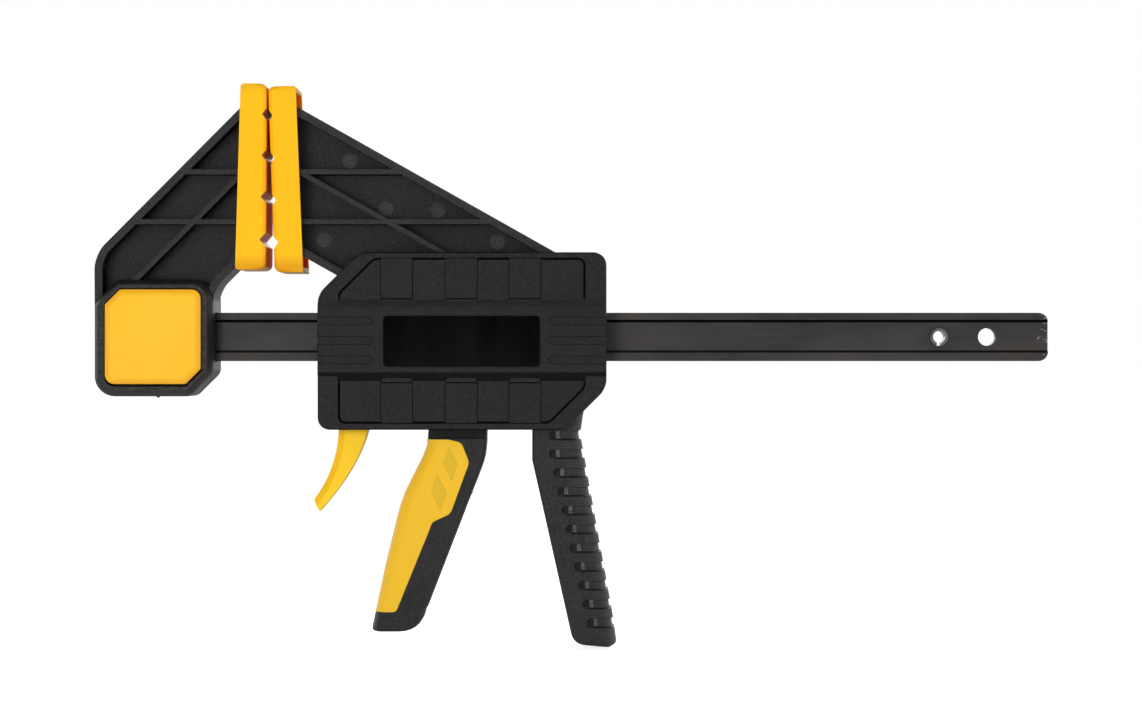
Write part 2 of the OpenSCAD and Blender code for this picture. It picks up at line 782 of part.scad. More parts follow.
grip_outline = [
    [grip_x, grip_z + 6, 0],
    [grip_x, grip_z - 0.14 * grip_len, 8],
    [grip_x + grip_reach, grip_z - grip_len + 1.6, 6],
    [grip_x + grip_reach + 0.82 * grip_w, grip_z - grip_len, 1.5],
    [grip_x + grip_reach + 0.883 * grip_w, grip_z - grip_len + 4.6, 2],
    [grip_x + grip_reach + 0.811 * grip_w, grip_z - 0.837 * grip_len, 0],
    [grip_x + grip_w, grip_z - 2, 0],
    [grip_x + grip_w + 1.4, grip_z + 9, 0]];

module moving_arm() {
    slab(moving_outline, -arm_web / 2, arm_web / 2);
    difference() {
        slab(moving_outline, -arm_y, arm_y);
        slab(inset(moving_lines, arm_flange), -arm_y - 1, arm_y + 1);
    }
    intersection() {
        slab(inset(moving_lines, arm_flange / 2), -arm_y, arm_y);
        union() {
            for (z = [rib_high, rib_low])
                block(moving_tongue(z), cover_x1, -arm_y, arm_y,
                    z - arm_rib / 2, z + arm_rib / 2);
            strip([moving_tongue(rib_high), rib_high + 4],
                [moving_tongue(rib_high) + 100,
                    rib_high + 4 - 100 * tan(moving_slope)],
                arm_rib, -arm_y, arm_y);
        }
    }
}

// Rounded prism that leans with the grip
module grip_body(d) {
    y = grip_depth / 2 - d;
    r = max(grip_round - d, 0.5);
    x1 = grip_w + 2.2 - d;
    intersection() {
        slab(inset(grip_outline, d > 0 ? d : 0), -y, y);
        translate([grip_x, 0, grip_z - 2])
        rotate([0, -10.6, 0])
        translate([0, 0, -grip_len - 10])
        linear_extrude(grip_len + 40)
        union() {
            translate([-12, -y])
            square([12 + x1 - r, 2 * y]);
            translate([x1 - r - 1, r - y])
            square([r + 1, 2 * y - 2 * r]);
            for (s = [-1, 1])
                translate([x1 - r, s * (y - r)])
                circle(r = r);
        }
    }
}
module grip() {
    difference() {
        grip_body(0);
        // between the covers the grip is no deeper than the frame
        both()
            block(0, big, arm_y, big, grip_z - 0.4, big);
        difference() {
            for (i = [0:groove_count - 1]) {
                z = grip_z - 2.6 - i * groove_pitch;
                x = grip_x + 8 + max(0, i - 1) * groove_pitch * grip_reach / grip_len * 1.18;
                block(x + groove_h / 2, grip_x + 60, -big / 2, big / 2,
                    z - groove_h / 2, z + groove_h / 2);
                rod(x + groove_h / 2, z, groove_h / 2, -big / 2, big / 2);
            }
            grip_body(groove_depth);
        }
    }
}

module lug(p) {
    rod(p[0], p[1], boss_d / 2, -arm_y, arm_y);
}

module moving_jaw() {
    g = bar_play;
    color(black) {
    both()
        block(frame_x1 - frame_wall, frame_x1, bar_web / 2 + key_play, bar_y + g + 1,
            -key_z, key_z);
    difference() {
        union() {
            difference() {
                union() {
                    moving_arm();
                    slab(frame_outline, -arm_y, arm_y);
                    grip();
                }
                slab(inset(frame_outline, frame_wall), -arm_y - 1, arm_y + 1);
                // mouths for the release lever and for the trigger
                block(frame_x0 + frame_wall + 0.5, wall_x - 1.5, -arm_y - 1, arm_y + 1,
                    grip_z - 1, inner_z0 + 1);
                block(pivot_x - 0.47 * handle_w - neck_gap, grip_x,
                    -arm_y - 1, arm_y + 1,
                    grip_z - 1, inner_z0 + 1);
            }
            // wall between brake and drive
            block(wall_x, wall_x + wall_t, -arm_y, arm_y, frame_z0 + 1, frame_z1 - 1);
            // seat over the brake plate
            block(brake_x - 6, brake_x + 6, -brake_w / 2, brake_w / 2,
                brake_z, frame_z1 - 1);
            for (p = screw_places) lug(p);
        }
        block(0, big, -bar_y - g, bar_y + g, -bar_z - g, bar_z + g);
        rod(brake_x, brake_z, brake_t / 2 + 2 * run, -arm_y - 1, arm_y + 1);
        for (p = screw_places)
            rod(p[0], p[1], screw_d / 2 + seat, -arm_y - 1, arm_y + 1);
    }
    }
}

// Cover drawn as the rear one, outside towards +Y: slopes run from the band to a level
module banded(y) {
    s = band_slope * (cover_y - y) / band_rise;
    intersection() {
        slab(cover_outline, arm_y, cover_y);
        rotate([90, 0, 90])
        linear_extrude(big)
        polygon([[arm_y, -big], [y, -big], [y, band_z0 - s],
            [cover_y, band_z0], [cover_y, band_top],
            [y, band_top + s], [y, big], [arm_y, big]]);
    }
}
upper_cut = cover_chamfer - panel_ease;
lower_cut = cover_undercut - panel_ease;
upper_panel = [
    [panel_x0, band_top, 0], [panel_x1, band_top, 0], [panel_x1, panel_z1, 3],
    [panel_x0 + upper_cut, panel_z1, panel_corner],
    [panel_x0, panel_z1 - upper_cut, panel_corner]];
lower_panel = [
    [panel_x0, panel_z0, 3], [panel_x1 - lower_cut, panel_z0, panel_corner],
    [panel_x1, panel_z0 + lower_cut, panel_corner], [panel_x1, band_z0, 0],
    [panel_x0, band_z0, 0]];
module cover_shape() {
    banded(panel_y);
    difference() {
        banded(rim_y);
        slab(upper_panel, arm_y, cover_y + 1);
        slab(lower_panel, arm_y, cover_y + 1);
    }
    panel_blocks(band_top + band_slope + 1, panel_z1 + 0.5);
    panel_blocks(panel_z0 - 0.5, band_z0 - band_slope - 1);
}
module side_slots(x_open, x_end, depth) {
    // three grooves, round towards the middle of the cover
    s = x_end > x_open ? 1 : -1;
    for (i = [-1, 0, 1]) {
        z = band_z0 + band_h / 2 + i * 8.9;
        block(min(x_open, x_end - s * 2.2), max(x_open, x_end - s * 2.2),
            cover_y - depth, cover_y + 1, z - 2.2, z + 2.2);
        rod(x_end - s * 2.2, z, 2.2, cover_y - depth, cover_y + 1);
    }
}
module panel_blocks(z0, z1) {
    for (x = [29, 58.6, 87.8])
        block(cover_x0 + x, cover_x0 + x + 14.4, panel_y - 0.6, panel_y + block_rise,
            z0, z1);
}
module cover_base() {
    difference() {
        cover_shape();
        slab(inset(cover_outline, cover_rim), arm_y - 1, pocket_y);
        side_slots(cover_x0 - 1, cover_x0 + 25.9, 0.8);
        side_slots(cover_x1 + 1, cover_x1 - 27, 0.8);
    }
    rod(pivot_x, pivot_z, pivot_d / 2 + 3, fork_out + 0.4, pocket_y + 0.5);
    for (p = screw_places)
        intersection() {
            rod(p[0], p[1], boss_d / 2, arm_y, pocket_y + 0.5);
            slab(inset(cover_outline, 0.5), arm_y, pocket_y + 1);
        }
}

module rear_cover() {
    color(black)
    difference() {
        cover_base();
        rod(pivot_x, pivot_z, pivot_d / 2 + press, arm_y - 5, pocket_y);
        for (p = screw_places) {
            rod(p[0], p[1], screw_d / 2 + seat, arm_y - 1, cover_y);
            rod(p[0], p[1], screw_head_d / 2 + seat, screw_seat, cover_y);
        }
    }
}

module front_cover() {
    color(black)
    mirror([0, 1, 0])
    difference() {
        cover_base();
        slab(box_points(plate_x0 - seat, plate_z0 - seat, plate_x0 + plate_w + seat,
            plate_z1 + seat, plate_corner + seat), cover_y - plate_t, cover_y + 1);
        rod(pivot_x, pivot_z, pivot_d / 2 + press, arm_y - 5, pocket_y);
        for (p = screw_places)
            rod(p[0], p[1], screw_d / 2 - screw_core + press, arm_y - 1,
                panel_y - 1.2);
    }
}

module nameplate() {
    color("#101113")
    slab(box_points(plate_x0, plate_z0, plate_x0 + plate_w, plate_z1, plate_corner),
        -cover_y - 0.1, plate_t - cover_y);
}

module cover_screw(i) {
    p = screw_places[i - 1];
    screw(p[0], p[1], screw_seat, screw_tip);
}

module trigger_pin() {
    color(bright)
    rod(pivot_x, pivot_z, pivot_d / 2, seat - pocket_y, pocket_y - seat);
}

// Prism with one side rounded, leaning along the edge from a down to b
module round_edge(a, b, s, r, y) {
    translate([b[0], 0, b[1]])
    rotate([0, atan2(a[0] - b[0], a[1] - b[1]), 0])
    translate([0, 0, -handle_len])
    linear_extrude(3 * handle_len) {
        translate([s > 0 ? r : -r - big, -y])
        square([big, 2 * y]);
        translate([s > 0 ? 0 : -r - 1, r - y])
        square([r + 1, 2 * y - 2 * r]);
        for (q = [-1, 1])
            translate([s * r, q * (y - r)])
            circle(r = r);
    }
}
function handle_side(k, r) = [for (q = handle_shape)
    concat(handle_at(q[0], q[k]), [q[0] < 1 ? 0 : r])];
module handle() {
    n = len(handle_shape) - 1;
    left_side = handle_side(1, 0);
    right_side = handle_side(2, handle_foot_r);
    intersection() {
        slab(concat(left_side, [for (i = [n:-1:0]) right_side[i]]),
            -handle_y, handle_y);
        round_edge(left_side[n - 2], left_side[n - 1], 1, handle_round, handle_y);
        round_edge(right_side[n - 2], right_side[n - 1], -1, handle_round / 2,
            handle_y);
    }
}
// Edge of the yellow part, in the same shares as the handle
skin_shape = [[0.005, -2], [0.898, -2], [0.898, -1.044], [0.859, -0.897],
    [0.478, -0.421], [0.433, -0.385], [0.389, -0.073], [0.124, 0.242],
    [0.0205, 0.11], [0.005, -0.11]];
function skin_points() = [for (i = [0:len(skin_shape) - 1])
    concat(handle_at(skin_shape[i][0], skin_shape[i][1]),
        [i > 1 && i < 9 ? skin_t : 0])];
core_shape = [[-0.1, -0.476], [0, -0.476], [0.085, -0.542], [0.278, -0.859],
    [0.416, -0.996], [1.1, -1.504]];
function under_skin(g) = concat(
    [for (i = [5:-1:0]) handle_at(core_shape[i][0], core_shape[i][1]) + [skin_t + g, 0]],
    [handle_at(-0.1, 0.8), handle_at(1.1, 0.8)]);
module skin_zone(g) {
    difference() {
        slab(skin_points(), -handle_depth, handle_depth);
        // what stays black under the skin
        slab(under_skin(g), skin_t + g - handle_y, handle_y - skin_t - g);
    }
}
core_left = [[-0.012, -0.293], [0, -0.293], [0.251, -0.549], [0.695, -0.879]];
core_right = [[0.695, -0.476], [0.251, 0.0916], [0, 0.385], [-0.012, 0.385]];
function core_points(g) = concat(
    [for (p = core_left) handle_at(p[0], p[1]) + [-g, p[0] > 0.6 ? -g : 0]],
    [for (p = core_right) handle_at(p[0], p[1]) + [g, p[0] > 0.6 ? -g : 0]]);

module trigger_grip() {
    color(black)
    difference() {
        handle();
        skin_zone(0);
        slab(core_points(seat), -core_t / 2 - seat, core_t / 2 + seat);
    }
}

module trigger_overmould() {
    color(yellow)
    intersection() {
        handle();
        skin_zone(-run);
    }
}

// Fork side and neck; the top of the neck stays under the bar all the way
neck_rise = 10;
neck_drop = 6;
fork_outline = [
    [pivot_x - fork_r, pivot_z, 0],
    [pivot_x - 0.33 * handle_w, -bar_z - 1.3 * neck_drop, 0],
    [pivot_x - 0.45 * handle_w, neck_z + 4, 0],
    [pivot_x - 0.46 * handle_w, neck_z + seat, 0],
    [pivot_x + 0.53 * handle_w, neck_z + seat, 0],
    [pivot_x + 0.535 * handle_w, neck_z + neck_rise, 0],
    [pivot_x + 0.366 * handle_w, -bar_z - 2.3 * neck_drop, 0],
    [pivot_x + 0.183 * handle_w, -bar_z - 1.3 * neck_drop, 0],
    [nose_x - 2, -nose_r, 0],
    [nose_x - 2, nose_r, 0],
    [pivot_x + fork_r, pivot_z, 0]];
module trigger_lever() {
    color(black)
    difference() {
        union() {
            slab(fork_outline, -fork_out, fork_out);
            rod(pivot_x, pivot_z, fork_r, -fork_out, fork_out);
            rod(nose_x, 0, nose_r, -fork_out, fork_out);
            slab(core_points(0), -core_t / 2, core_t / 2);
        }
        block(pivot_x - big, pivot_x + big, -fork_in, fork_in,
            -bar_z - 1.3 * neck_drop, pivot_z + fork_r + 1);
        rod(pivot_x, pivot_z, pivot_d / 2 + run, -fork_out - 1, fork_out + 1);
    }
}

module drive_plate(i) {
    x = drive_x + (i - 1) * (drive_plate_t + drive_gap);
    color(bright)
    difference() {
        block(x, x + drive_plate_t, -drive_plate_w / 2, drive_plate_w / 2,
            -drive_plate_h / 2, drive_plate_h / 2);
        block(x - 1, x + drive_plate_t + 1, -bar_y - plate_play, bar_y + plate_play,
            -bar_z - plate_play, bar_z + plate_play);
    }
}

module drive_spring() {
    color(bright)
    translate([drive_coil_x, 0, 0])
    rotate([0, 90, 0])
    coil(drive_coil_r, drive_coil_r, drive_wire,
        frame_x1 - frame_wall - drive_coil_x, 7, 20);
}

module leaning(angle) {
    translate([brake_x, 0, brake_z])
    rotate([0, angle, 0])
    translate([-brake_x, 0, -brake_z])
    children();
}
module brake_plate() {
    color(bright)
    leaning(brake_lean)
    difference() {
        union() {
            block(brake_x - brake_t / 2, brake_x + brake_t / 2,
                -brake_w / 2, brake_w / 2, brake_foot, brake_z);
            block(brake_x - brake_t / 2, brake_x + brake_t / 2,
                -lever_w / 4, lever_w / 4, brake_foot - tongue_len, brake_foot + 1);
            rod(brake_x, brake_z, brake_t / 2, -brake_w / 2, brake_w / 2);
        }
        block(brake_x - 10, brake_x + 10, -bar_y - plate_play, bar_y + plate_play,
            -bar_z - plate_play, bar_z + plate_play);
    }
}

// Lever outline, from the brake plate's top edge
lever_root = 0.612 * lever_len;
lever_bend = 0.796 * lever_len;
lever_right = curve([lever_neck - 8.8, -lever_root],
    [lever_neck * 0.036, -lever_bend], [-lever_reach, -lever_len], 8);
lever_left = curve([-lever_reach - 3, -0.944 * lever_len],
    [-0.683 * lever_neck, -lever_bend], [-8.8, -lever_root], 8);
module release_lever() {
    x = brake_x;
    z = brake_z;
    color(yellow)
    difference() {
        slab(concat([[x - 9, lever_top, 0]],
            [for (i = [8:-1:0]) [x + lever_left[i][0], z + lever_left[i][1], 0]],
            [for (i = [8:-1:0]) [x + lever_right[i][0], z + lever_right[i][1], 0]],
            [[x + 6, lever_top, 0]]), -lever_w / 2, lever_w / 2);
        leaning(brake_lean)
        block(x - brake_t / 2 - run, x + brake_t / 2 + run,
            -lever_w / 4 - run, lever_w / 4 + run,
            brake_foot - tongue_len - seat, brake_foot + 5);
    }
}

module brake_spring() {
    lean = (brake_z - brake_coil_z + brake_coil_d / 2) * tan(brake_lean);
    x = brake_x + brake_t / 2 / cos(brake_lean) - lean + brake_coil_d * tan(brake_lean);
    color(bright)
    translate([x, 0, brake_coil_z])
    rotate([0, 90, 0])
    coil((brake_coil_d - brake_wire) / 2, (brake_coil_d - brake_wire) / 2,
        brake_wire, wall_x - x, 7, 14);
}

bar();
stop_pin();
fixed_jaw();
back_cover();
screw(latch_x - back_screw_offset, 0, head_y - 1.6, bar_y + 2.5);  // back_screw_1
screw(latch_x + back_screw_offset, 0, head_y - 1.6, bar_y + 2.5);  // back_screw_2
fixed_pad();
release_button();
latch_plate();
latch_pin();
latch_spring();
moving_jaw();
front_cover();
rear_cover();
nameplate();
cover_screw(1);  // cover_screw_1
cover_screw(2);  // cover_screw_2
cover_screw(3);  // cover_screw_3
cover_screw(4);  // cover_screw_4
moving_pad();
trigger_pin();
trigger_lever();
trigger_grip();
trigger_overmould();
drive_plate(1);  // drive_plate_1
drive_plate(2);  // drive_plate_2
drive_spring();
brake_plate();
release_lever();
brake_spring();
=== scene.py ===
import bpy
import bmesh
import math
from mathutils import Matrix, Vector


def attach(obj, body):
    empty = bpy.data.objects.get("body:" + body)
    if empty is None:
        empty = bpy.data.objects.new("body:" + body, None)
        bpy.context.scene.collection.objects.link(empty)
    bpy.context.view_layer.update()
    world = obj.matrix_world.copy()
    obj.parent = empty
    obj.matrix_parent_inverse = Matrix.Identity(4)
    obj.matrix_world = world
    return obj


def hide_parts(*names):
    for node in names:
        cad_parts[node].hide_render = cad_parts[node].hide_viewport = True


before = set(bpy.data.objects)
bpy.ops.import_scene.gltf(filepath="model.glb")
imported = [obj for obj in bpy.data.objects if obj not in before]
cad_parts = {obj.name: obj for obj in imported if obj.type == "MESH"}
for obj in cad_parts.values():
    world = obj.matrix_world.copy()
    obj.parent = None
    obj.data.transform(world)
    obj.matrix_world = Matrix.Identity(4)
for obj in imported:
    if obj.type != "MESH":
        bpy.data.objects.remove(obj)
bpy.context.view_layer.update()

# Bench helpers: everything is shaped in millimetres, and shrunk to metres by finishPiece

touch = 1e-3  # how near two places count as the same


def deselect():
    bpy.ops.object.select_all(action="DESELECT")


def workOn(piece):
    deselect()
    piece.select_set(True)
    bpy.context.view_layer.objects.active = piece


def newest(name):
    # the object just added, with its place and turn put into its mesh
    piece = bpy.context.active_object
    piece.name = name
    bpy.ops.object.transform_apply(location=True, rotation=True, scale=True)
    return piece


def change(piece, kind, **values):
    # sets up a modifier and applies it
    workOn(piece)
    step = piece.modifiers.new("step", kind)
    for key, value in values.items():
        setattr(step, key, value)
    bpy.ops.object.modifier_apply(modifier=step.name)
    return piece


def editOn(piece):
    workOn(piece)
    bpy.ops.object.mode_set(mode="EDIT")


def editOff():
    bpy.ops.object.mode_set(mode="OBJECT")


def pick(piece, test, kind="FACE"):
    # selects what passes the test; it gets the middle of the face, edge or point, and the part itself
    bpy.ops.mesh.select_mode(type=kind)
    bpy.ops.mesh.select_all(action="DESELECT")
    mesh = bmesh.from_edit_mesh(piece.data)
    mesh.normal_update()
    parts, middle = {"FACE": (mesh.faces, lambda part: part.calc_center_median()),
                     "EDGE": (mesh.edges, lambda part: (part.verts[0].co + part.verts[1].co) / 2),
                     "VERT": (mesh.verts, lambda part: part.co)}[kind]
    found = [part for part in parts if test(middle(part), part)]
    for part in found:
        part.select_set(True)
    mesh.select_flush_mode()
    bmesh.update_edit_mesh(piece.data)
    return len(found)


def atY(y):
    return lambda at, part: abs(at.y - y) < touch


def pull(x=0, y=0, z=0):
    bpy.ops.mesh.extrude_region_move(TRANSFORM_OT_translate={"value": (x, y, z)})


def bevelEdges(piece, test, width, segments=3):
    pick(piece, test, "EDGE")
    bpy.ops.mesh.bevel(offset=width, segments=segments, profile=0.5)


def insetFront(piece, width, depth=0):
    pick(piece, lambda at, part: part.normal.y < -0.99)
    bpy.ops.mesh.inset(thickness=width, depth=depth)


def shiftPoints(piece, test, move):
    pick(piece, test, "VERT")
    bpy.ops.transform.translate(value=move)


def scalePoints(piece, test, factors, centre):
    pick(piece, test, "VERT")
    bpy.ops.transform.resize(value=factors, center_override=centre)


def split(spot, way, **options):
    bpy.ops.mesh.bisect(plane_co=spot, plane_no=way, threshold=1e-5, **options)


def mark(piece, index):
    # the picked faces take another of the piece's looks
    mesh = bmesh.from_edit_mesh(piece.data)
    for part in mesh.faces:
        if part.select:
            part.material_index = index
    bmesh.update_edit_mesh(piece.data)


def markPlaces(piece, test, index=1):
    # the same on a finished piece, with places in millimetres
    for face in piece.data.polygons:
        if test(face.center * 1000, face.normal):
            face.material_index = index


def tidyNormals():
    bpy.ops.mesh.select_all(action="SELECT")
    bpy.ops.mesh.remove_doubles(threshold=0.0005)
    bpy.ops.mesh.normals_make_consistent(inside=False)


cutLoss = 0.586  # what a cut corner loses per millimetre of inset, so that its line moves in evenly


def limits(s, inset=0):
    return s["x0"] + inset, s["x1"] - inset, s["z0"] + inset, s["z1"] - inset


def rounded(x0, x1, z0, z1, r):
    return [(x0, z0, r), (x1, z0, r), (x1, z1, r), (x0, z1, r)]


def cutOutline(x0, x1, z0, z1, low, high, ease, foot, top):
    # a rectangle with its lower right and upper left corners cut off; ease, foot and top are radii
    return [(x0, z0, foot), (x1 - low, z0, ease), (x1, z0 + low, ease),
            (x1, z1, top), (x0 + high, z1, ease), (x0, z1 - high, ease)]


def outlineDisc(name, corners, start, along="Y", segments=5):
    # a disc with one point per corner, laid on the outline, its corners rounded; stays in edit mode
    place = {"Y": lambda u, v: (u, start, v), "X": lambda u, v: (start, u, v),
             "Z": lambda u, v: (u, v, start)}[along]
    deselect()
    bpy.ops.mesh.primitive_circle_add(vertices=len(corners), radius=1, fill_type="NGON")
    piece = newest(name)
    bpy.ops.object.mode_set(mode="EDIT")
    mesh = bmesh.from_edit_mesh(piece.data)
    for point, corner in zip(mesh.verts, corners):
        point.co = place(*corner[:2])
    bmesh.update_edit_mesh(piece.data)
    for i, corner in enumerate(corners):
        if len(corner) > 2 and corner[2] > 0:
            spot, here = Vector(place(*corner[:2])), Vector(corner[:2])
            before, after = ((Vector(corners[k % len(corners)][:2]) - here).normalized() for k in (i - 1, i + 1))
            tangent = corner[2] / math.tan(before.angle(after) / 2)
            pick(piece, lambda at, part: (at - spot).length < touch, "VERT")
            bpy.ops.mesh.bevel(offset=tangent, segments=segments, profile=0.5, affect="VERTICES")
    bpy.ops.mesh.select_all(action="SELECT")
    return piece


def outlinePlate(name, corners, start, end, along="Y", segments=5):
    piece = outlineDisc(name, corners, start, along, segments)
    pull(**{along.lower(): end - start})
    tidyNormals()
    editOff()
    return piece


def loft(name, rows, half, leftRound, rightRound, segments=7):
    # rounded section at the first row, pulled down row by row, moved and narrowed on the way;
    # rows are (z, left, right), with how much the thickness loses where it does
    z, left, right = rows[0][:3]
    piece = outlineDisc(name, [(left, -half, leftRound), (right, -half, rightRound), (right, half, rightRound),
                               (left, half, leftRound)], z, "Z", segments)
    full = [(*row, 0)[:4] for row in rows]
    for (za, leftA, rightA, thinA), (zb, leftB, rightB, thinB) in zip(full, full[1:]):
        pull(x=leftB - leftA, z=zb - za)
        bpy.ops.transform.resize(value=((rightB - leftB) / (rightA - leftA), (half - thinB) / (half - thinA), 1),
                                 center_override=(leftB, 0, zb))
    tidyNormals()
    editOff()
    return piece


def box(name, low, high):
    deselect()
    bpy.ops.mesh.primitive_cube_add(size=1, location=[(a + b) / 2 for a, b in zip(low, high)])
    bpy.context.active_object.scale = [b - a for a, b in zip(low, high)]
    return newest(name)


def rod(name, x, z, radius, y0, y1, sides=40, ends="NGON"):
    deselect()
    bpy.ops.mesh.primitive_cylinder_add(vertices=sides, radius=radius, depth=abs(y1 - y0), end_fill_type=ends,
                                        location=(x, (y0 + y1) / 2, z), rotation=(math.pi / 2, 0, 0))
    return newest(name)


def join(piece, *others):
    workOn(piece)
    for other in others:
        other.select_set(True)
    bpy.ops.object.join()
    return piece


def carve(piece, tool, way="DIFFERENCE", keep=False):
    change(piece, "BOOLEAN", operation=way, solver="EXACT", object=tool)
    if not keep:
        bpy.data.objects.remove(tool)


def soften(piece, width, segments=2, angle=32):
    # rounds what is left of the sharp edges
    change(piece, "BEVEL", width=width, segments=segments, limit_method="ANGLE", angle_limit=math.radians(angle),
           use_clamp_overlap=True, miter_outer="MITER_ARC")


def finishPiece(piece, names, body, finish, *nodes, smooth=38):
    editOn(piece)
    tidyNormals()
    bpy.ops.transform.resize(value=(0.001, 0.001, 0.001), center_override=(0, 0, 0))
    editOff()
    bpy.ops.object.shade_smooth_by_angle(angle=math.radians(smooth))
    change(piece, "WEIGHTED_NORMAL", keep_sharp=True)
    for name in names.split():
        piece.data.materials.append(looks[name])
    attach(piece, body)
    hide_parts(*nodes)


def bend(a, b, c, count):
    return [tuple((1 - t) ** 2 * a[i] + 2 * t * (1 - t) * b[i] + t * t * c[i] for i in (0, 1))
            for t in [k / count for k in range(count + 1)]]


# Materials

looks = {}


def shade(colour, factor):
    return [c * factor for c in colour]


class Wiring:
    # node wiring for a material or the world, with short names for the nodes that recur
    def __init__(self, owner):
        owner.use_nodes = True
        self.owner = owner
        self.tree = owner.node_tree
        self.shader = self.tree.nodes.get("Principled BSDF")
        self.coords = self.add("ShaderNodeTexCoord").outputs
        self.place = self.coords["Object"]

    def add(self, kind, values=None, **settings):
        node = self.tree.nodes.new(kind)
        for key, value in settings.items():
            setattr(node, key, value)
        for key, value in (values or {}).items():
            node.inputs[key].default_value = value
        return node

    def feed(self, socket, source):
        # wires another node's output, or writes a number or a colour
        if isinstance(source, bpy.types.NodeSocket):
            self.tree.links.new(source, socket)
        else:
            socket.default_value = (*source, 1) if isinstance(source, (tuple, list)) else source

    def mapped(self, **values):
        node = self.add("ShaderNodeMapping", values)
        self.feed(node.inputs["Vector"], self.place)
        return node.outputs["Vector"]

    def axes(self, source=None):
        node = self.add("ShaderNodeSeparateXYZ")
        self.feed(node.inputs[0], source or self.place)
        return node.outputs

    def noise(self, scale, detail=3, rough=0.5, stretch=None):
        node = self.add("ShaderNodeTexNoise", {"Scale": scale, "Detail": detail, "Roughness": rough})
        self.feed(node.inputs["Vector"], self.mapped(Scale=stretch) if stretch else self.place)
        return node.outputs["Fac"]

    def wave(self, scale, distortion, way, source=None):
        node = self.add("ShaderNodeTexWave", {"Scale": scale, "Distortion": distortion}, wave_type="BANDS",
                        bands_direction=way)
        self.feed(node.inputs["Vector"], source or self.place)
        return node.outputs["Fac"]

    def ramp(self, source, low, high, dark=0.0, light=1.0):
        node = self.add("ShaderNodeMapRange", {"From Min": low, "From Max": high, "To Min": dark, "To Max": light},
                        clamp=True)
        self.feed(node.inputs["Value"], source)
        return node.outputs["Result"]

    def blend(self, amount, first, second, kind="RGBA"):
        node = self.add("ShaderNodeMix", data_type=kind)
        low = 6 if kind == "RGBA" else 2  # its colour sockets come after the plain ones
        for slot, source in ((0, amount), (low, first), (low + 1, second)):
            self.feed(node.inputs[slot], source)
        return node.outputs[2 if kind == "RGBA" else 0]

    def sum(self, first, second, way="ADD"):
        node = self.add("ShaderNodeMath", operation=way)
        self.feed(node.inputs[0], first)
        self.feed(node.inputs[1], second)
        return node.outputs[0]

    def times(self, first, second):
        return self.sum(first, second, "MULTIPLY")

    def within(self, source, outer, inner):
        # 1 where the source lies inside both outer limits, faded to the inner ones
        return self.times(self.ramp(source, outer[0], inner[0]), self.ramp(source, inner[1], outer[1], 1, 0))

    def bump(self, height, strength, distance, under=None):
        node = self.add("ShaderNodeBump", {"Strength": strength, "Distance": distance})
        self.feed(node.inputs["Height"], height)
        if under:
            self.feed(node.inputs["Normal"], under)
        return node.outputs["Normal"]

    def finish(self, colour, rough, normal=None, **fixed):
        sources = {"Base Color": colour, "Roughness": rough, **fixed}
        if normal:
            sources["Normal"] = normal
        for key, source in sources.items():
            socket = self.shader.inputs[key.replace("_", " ")]
            if key == "Subsurface_Radius":
                socket.default_value = source
            else:
                self.feed(socket, source)
        looks[self.owner.name] = self.owner


def newLook(name):
    return Wiring(bpy.data.materials.new(name))


dustGrey = (0.07, 0.07, 0.066)
deepDust = (0.03, 0.03, 0.03)


def mouldedBlack(name, base, dust=dustGrey, grain=0.5, roughness=0.50, gloss=0.42, ridges=None, speckle=1.0):
    # glass-filled nylon: spark-eroded grain, mottling, cloudy patches and a little dust
    w = newLook(name)
    cloud, mottle, fleck = w.noise(34, 4, 0.6), w.noise(480, 3, 0.65), w.noise(1500, 2, 0.6)
    tone = w.blend(w.ramp(cloud, 0.35, 0.7), shade(base, 0.8), shade(base, 1.25))
    tone = w.blend(w.ramp(mottle, 0.42, 0.62, 0, 0.8 * speckle), tone, shade(base, 1.75))
    tone = w.blend(w.ramp(fleck, 0.48, 0.66, 0, 0.7 * speckle), tone, shade(base, 4.2))
    tone = w.blend(w.times(w.ramp(w.noise(640, 2, 0.7), 0.70, 0.76), 0.3), tone, dust)
    under = w.bump(mottle, 0.25, 0.0001)
    if ridges:
        # fine level lines beyond a slanting limit, and painted shade along the foot of each groove
        x, _, z = w.axes()
        slant, limit = w.sum(x, w.times(z, ridges["lean"])), ridges["from"]
        line = w.times(w.wave(math.pi / 10 / ridges["pitch"], 0.6, "Z"), w.ramp(slant, limit, limit + 0.002))
        tone = w.blend(w.times(line, 0.6), tone, shade(base, 3.2))
        under = w.bump(line, 0.6, 0.0003, under)
        phase = w.sum(w.sum(ridges["top"], z, "SUBTRACT"), ridges["step"], "MODULO")
        footShade = w.times(w.within(phase, *ridges["line"]), w.within(z, *ridges["reach"]))
        past = w.ramp(slant, limit - 0.0048, limit - 0.0036)
        tone = w.blend(w.times(footShade, w.times(past, 0.88)), tone, (0.0008, 0.0008, 0.0008))
    rough = w.sum(w.ramp(cloud, 0.3, 0.7, roughness - 0.05, roughness + 0.06), w.ramp(fleck, 0.3, 0.7, -0.05, 0.05))
    w.finish(tone, rough, w.bump(w.noise(1500, 2, 0.55), grain, 0.00012, under), Specular_IOR_Level=gloss)


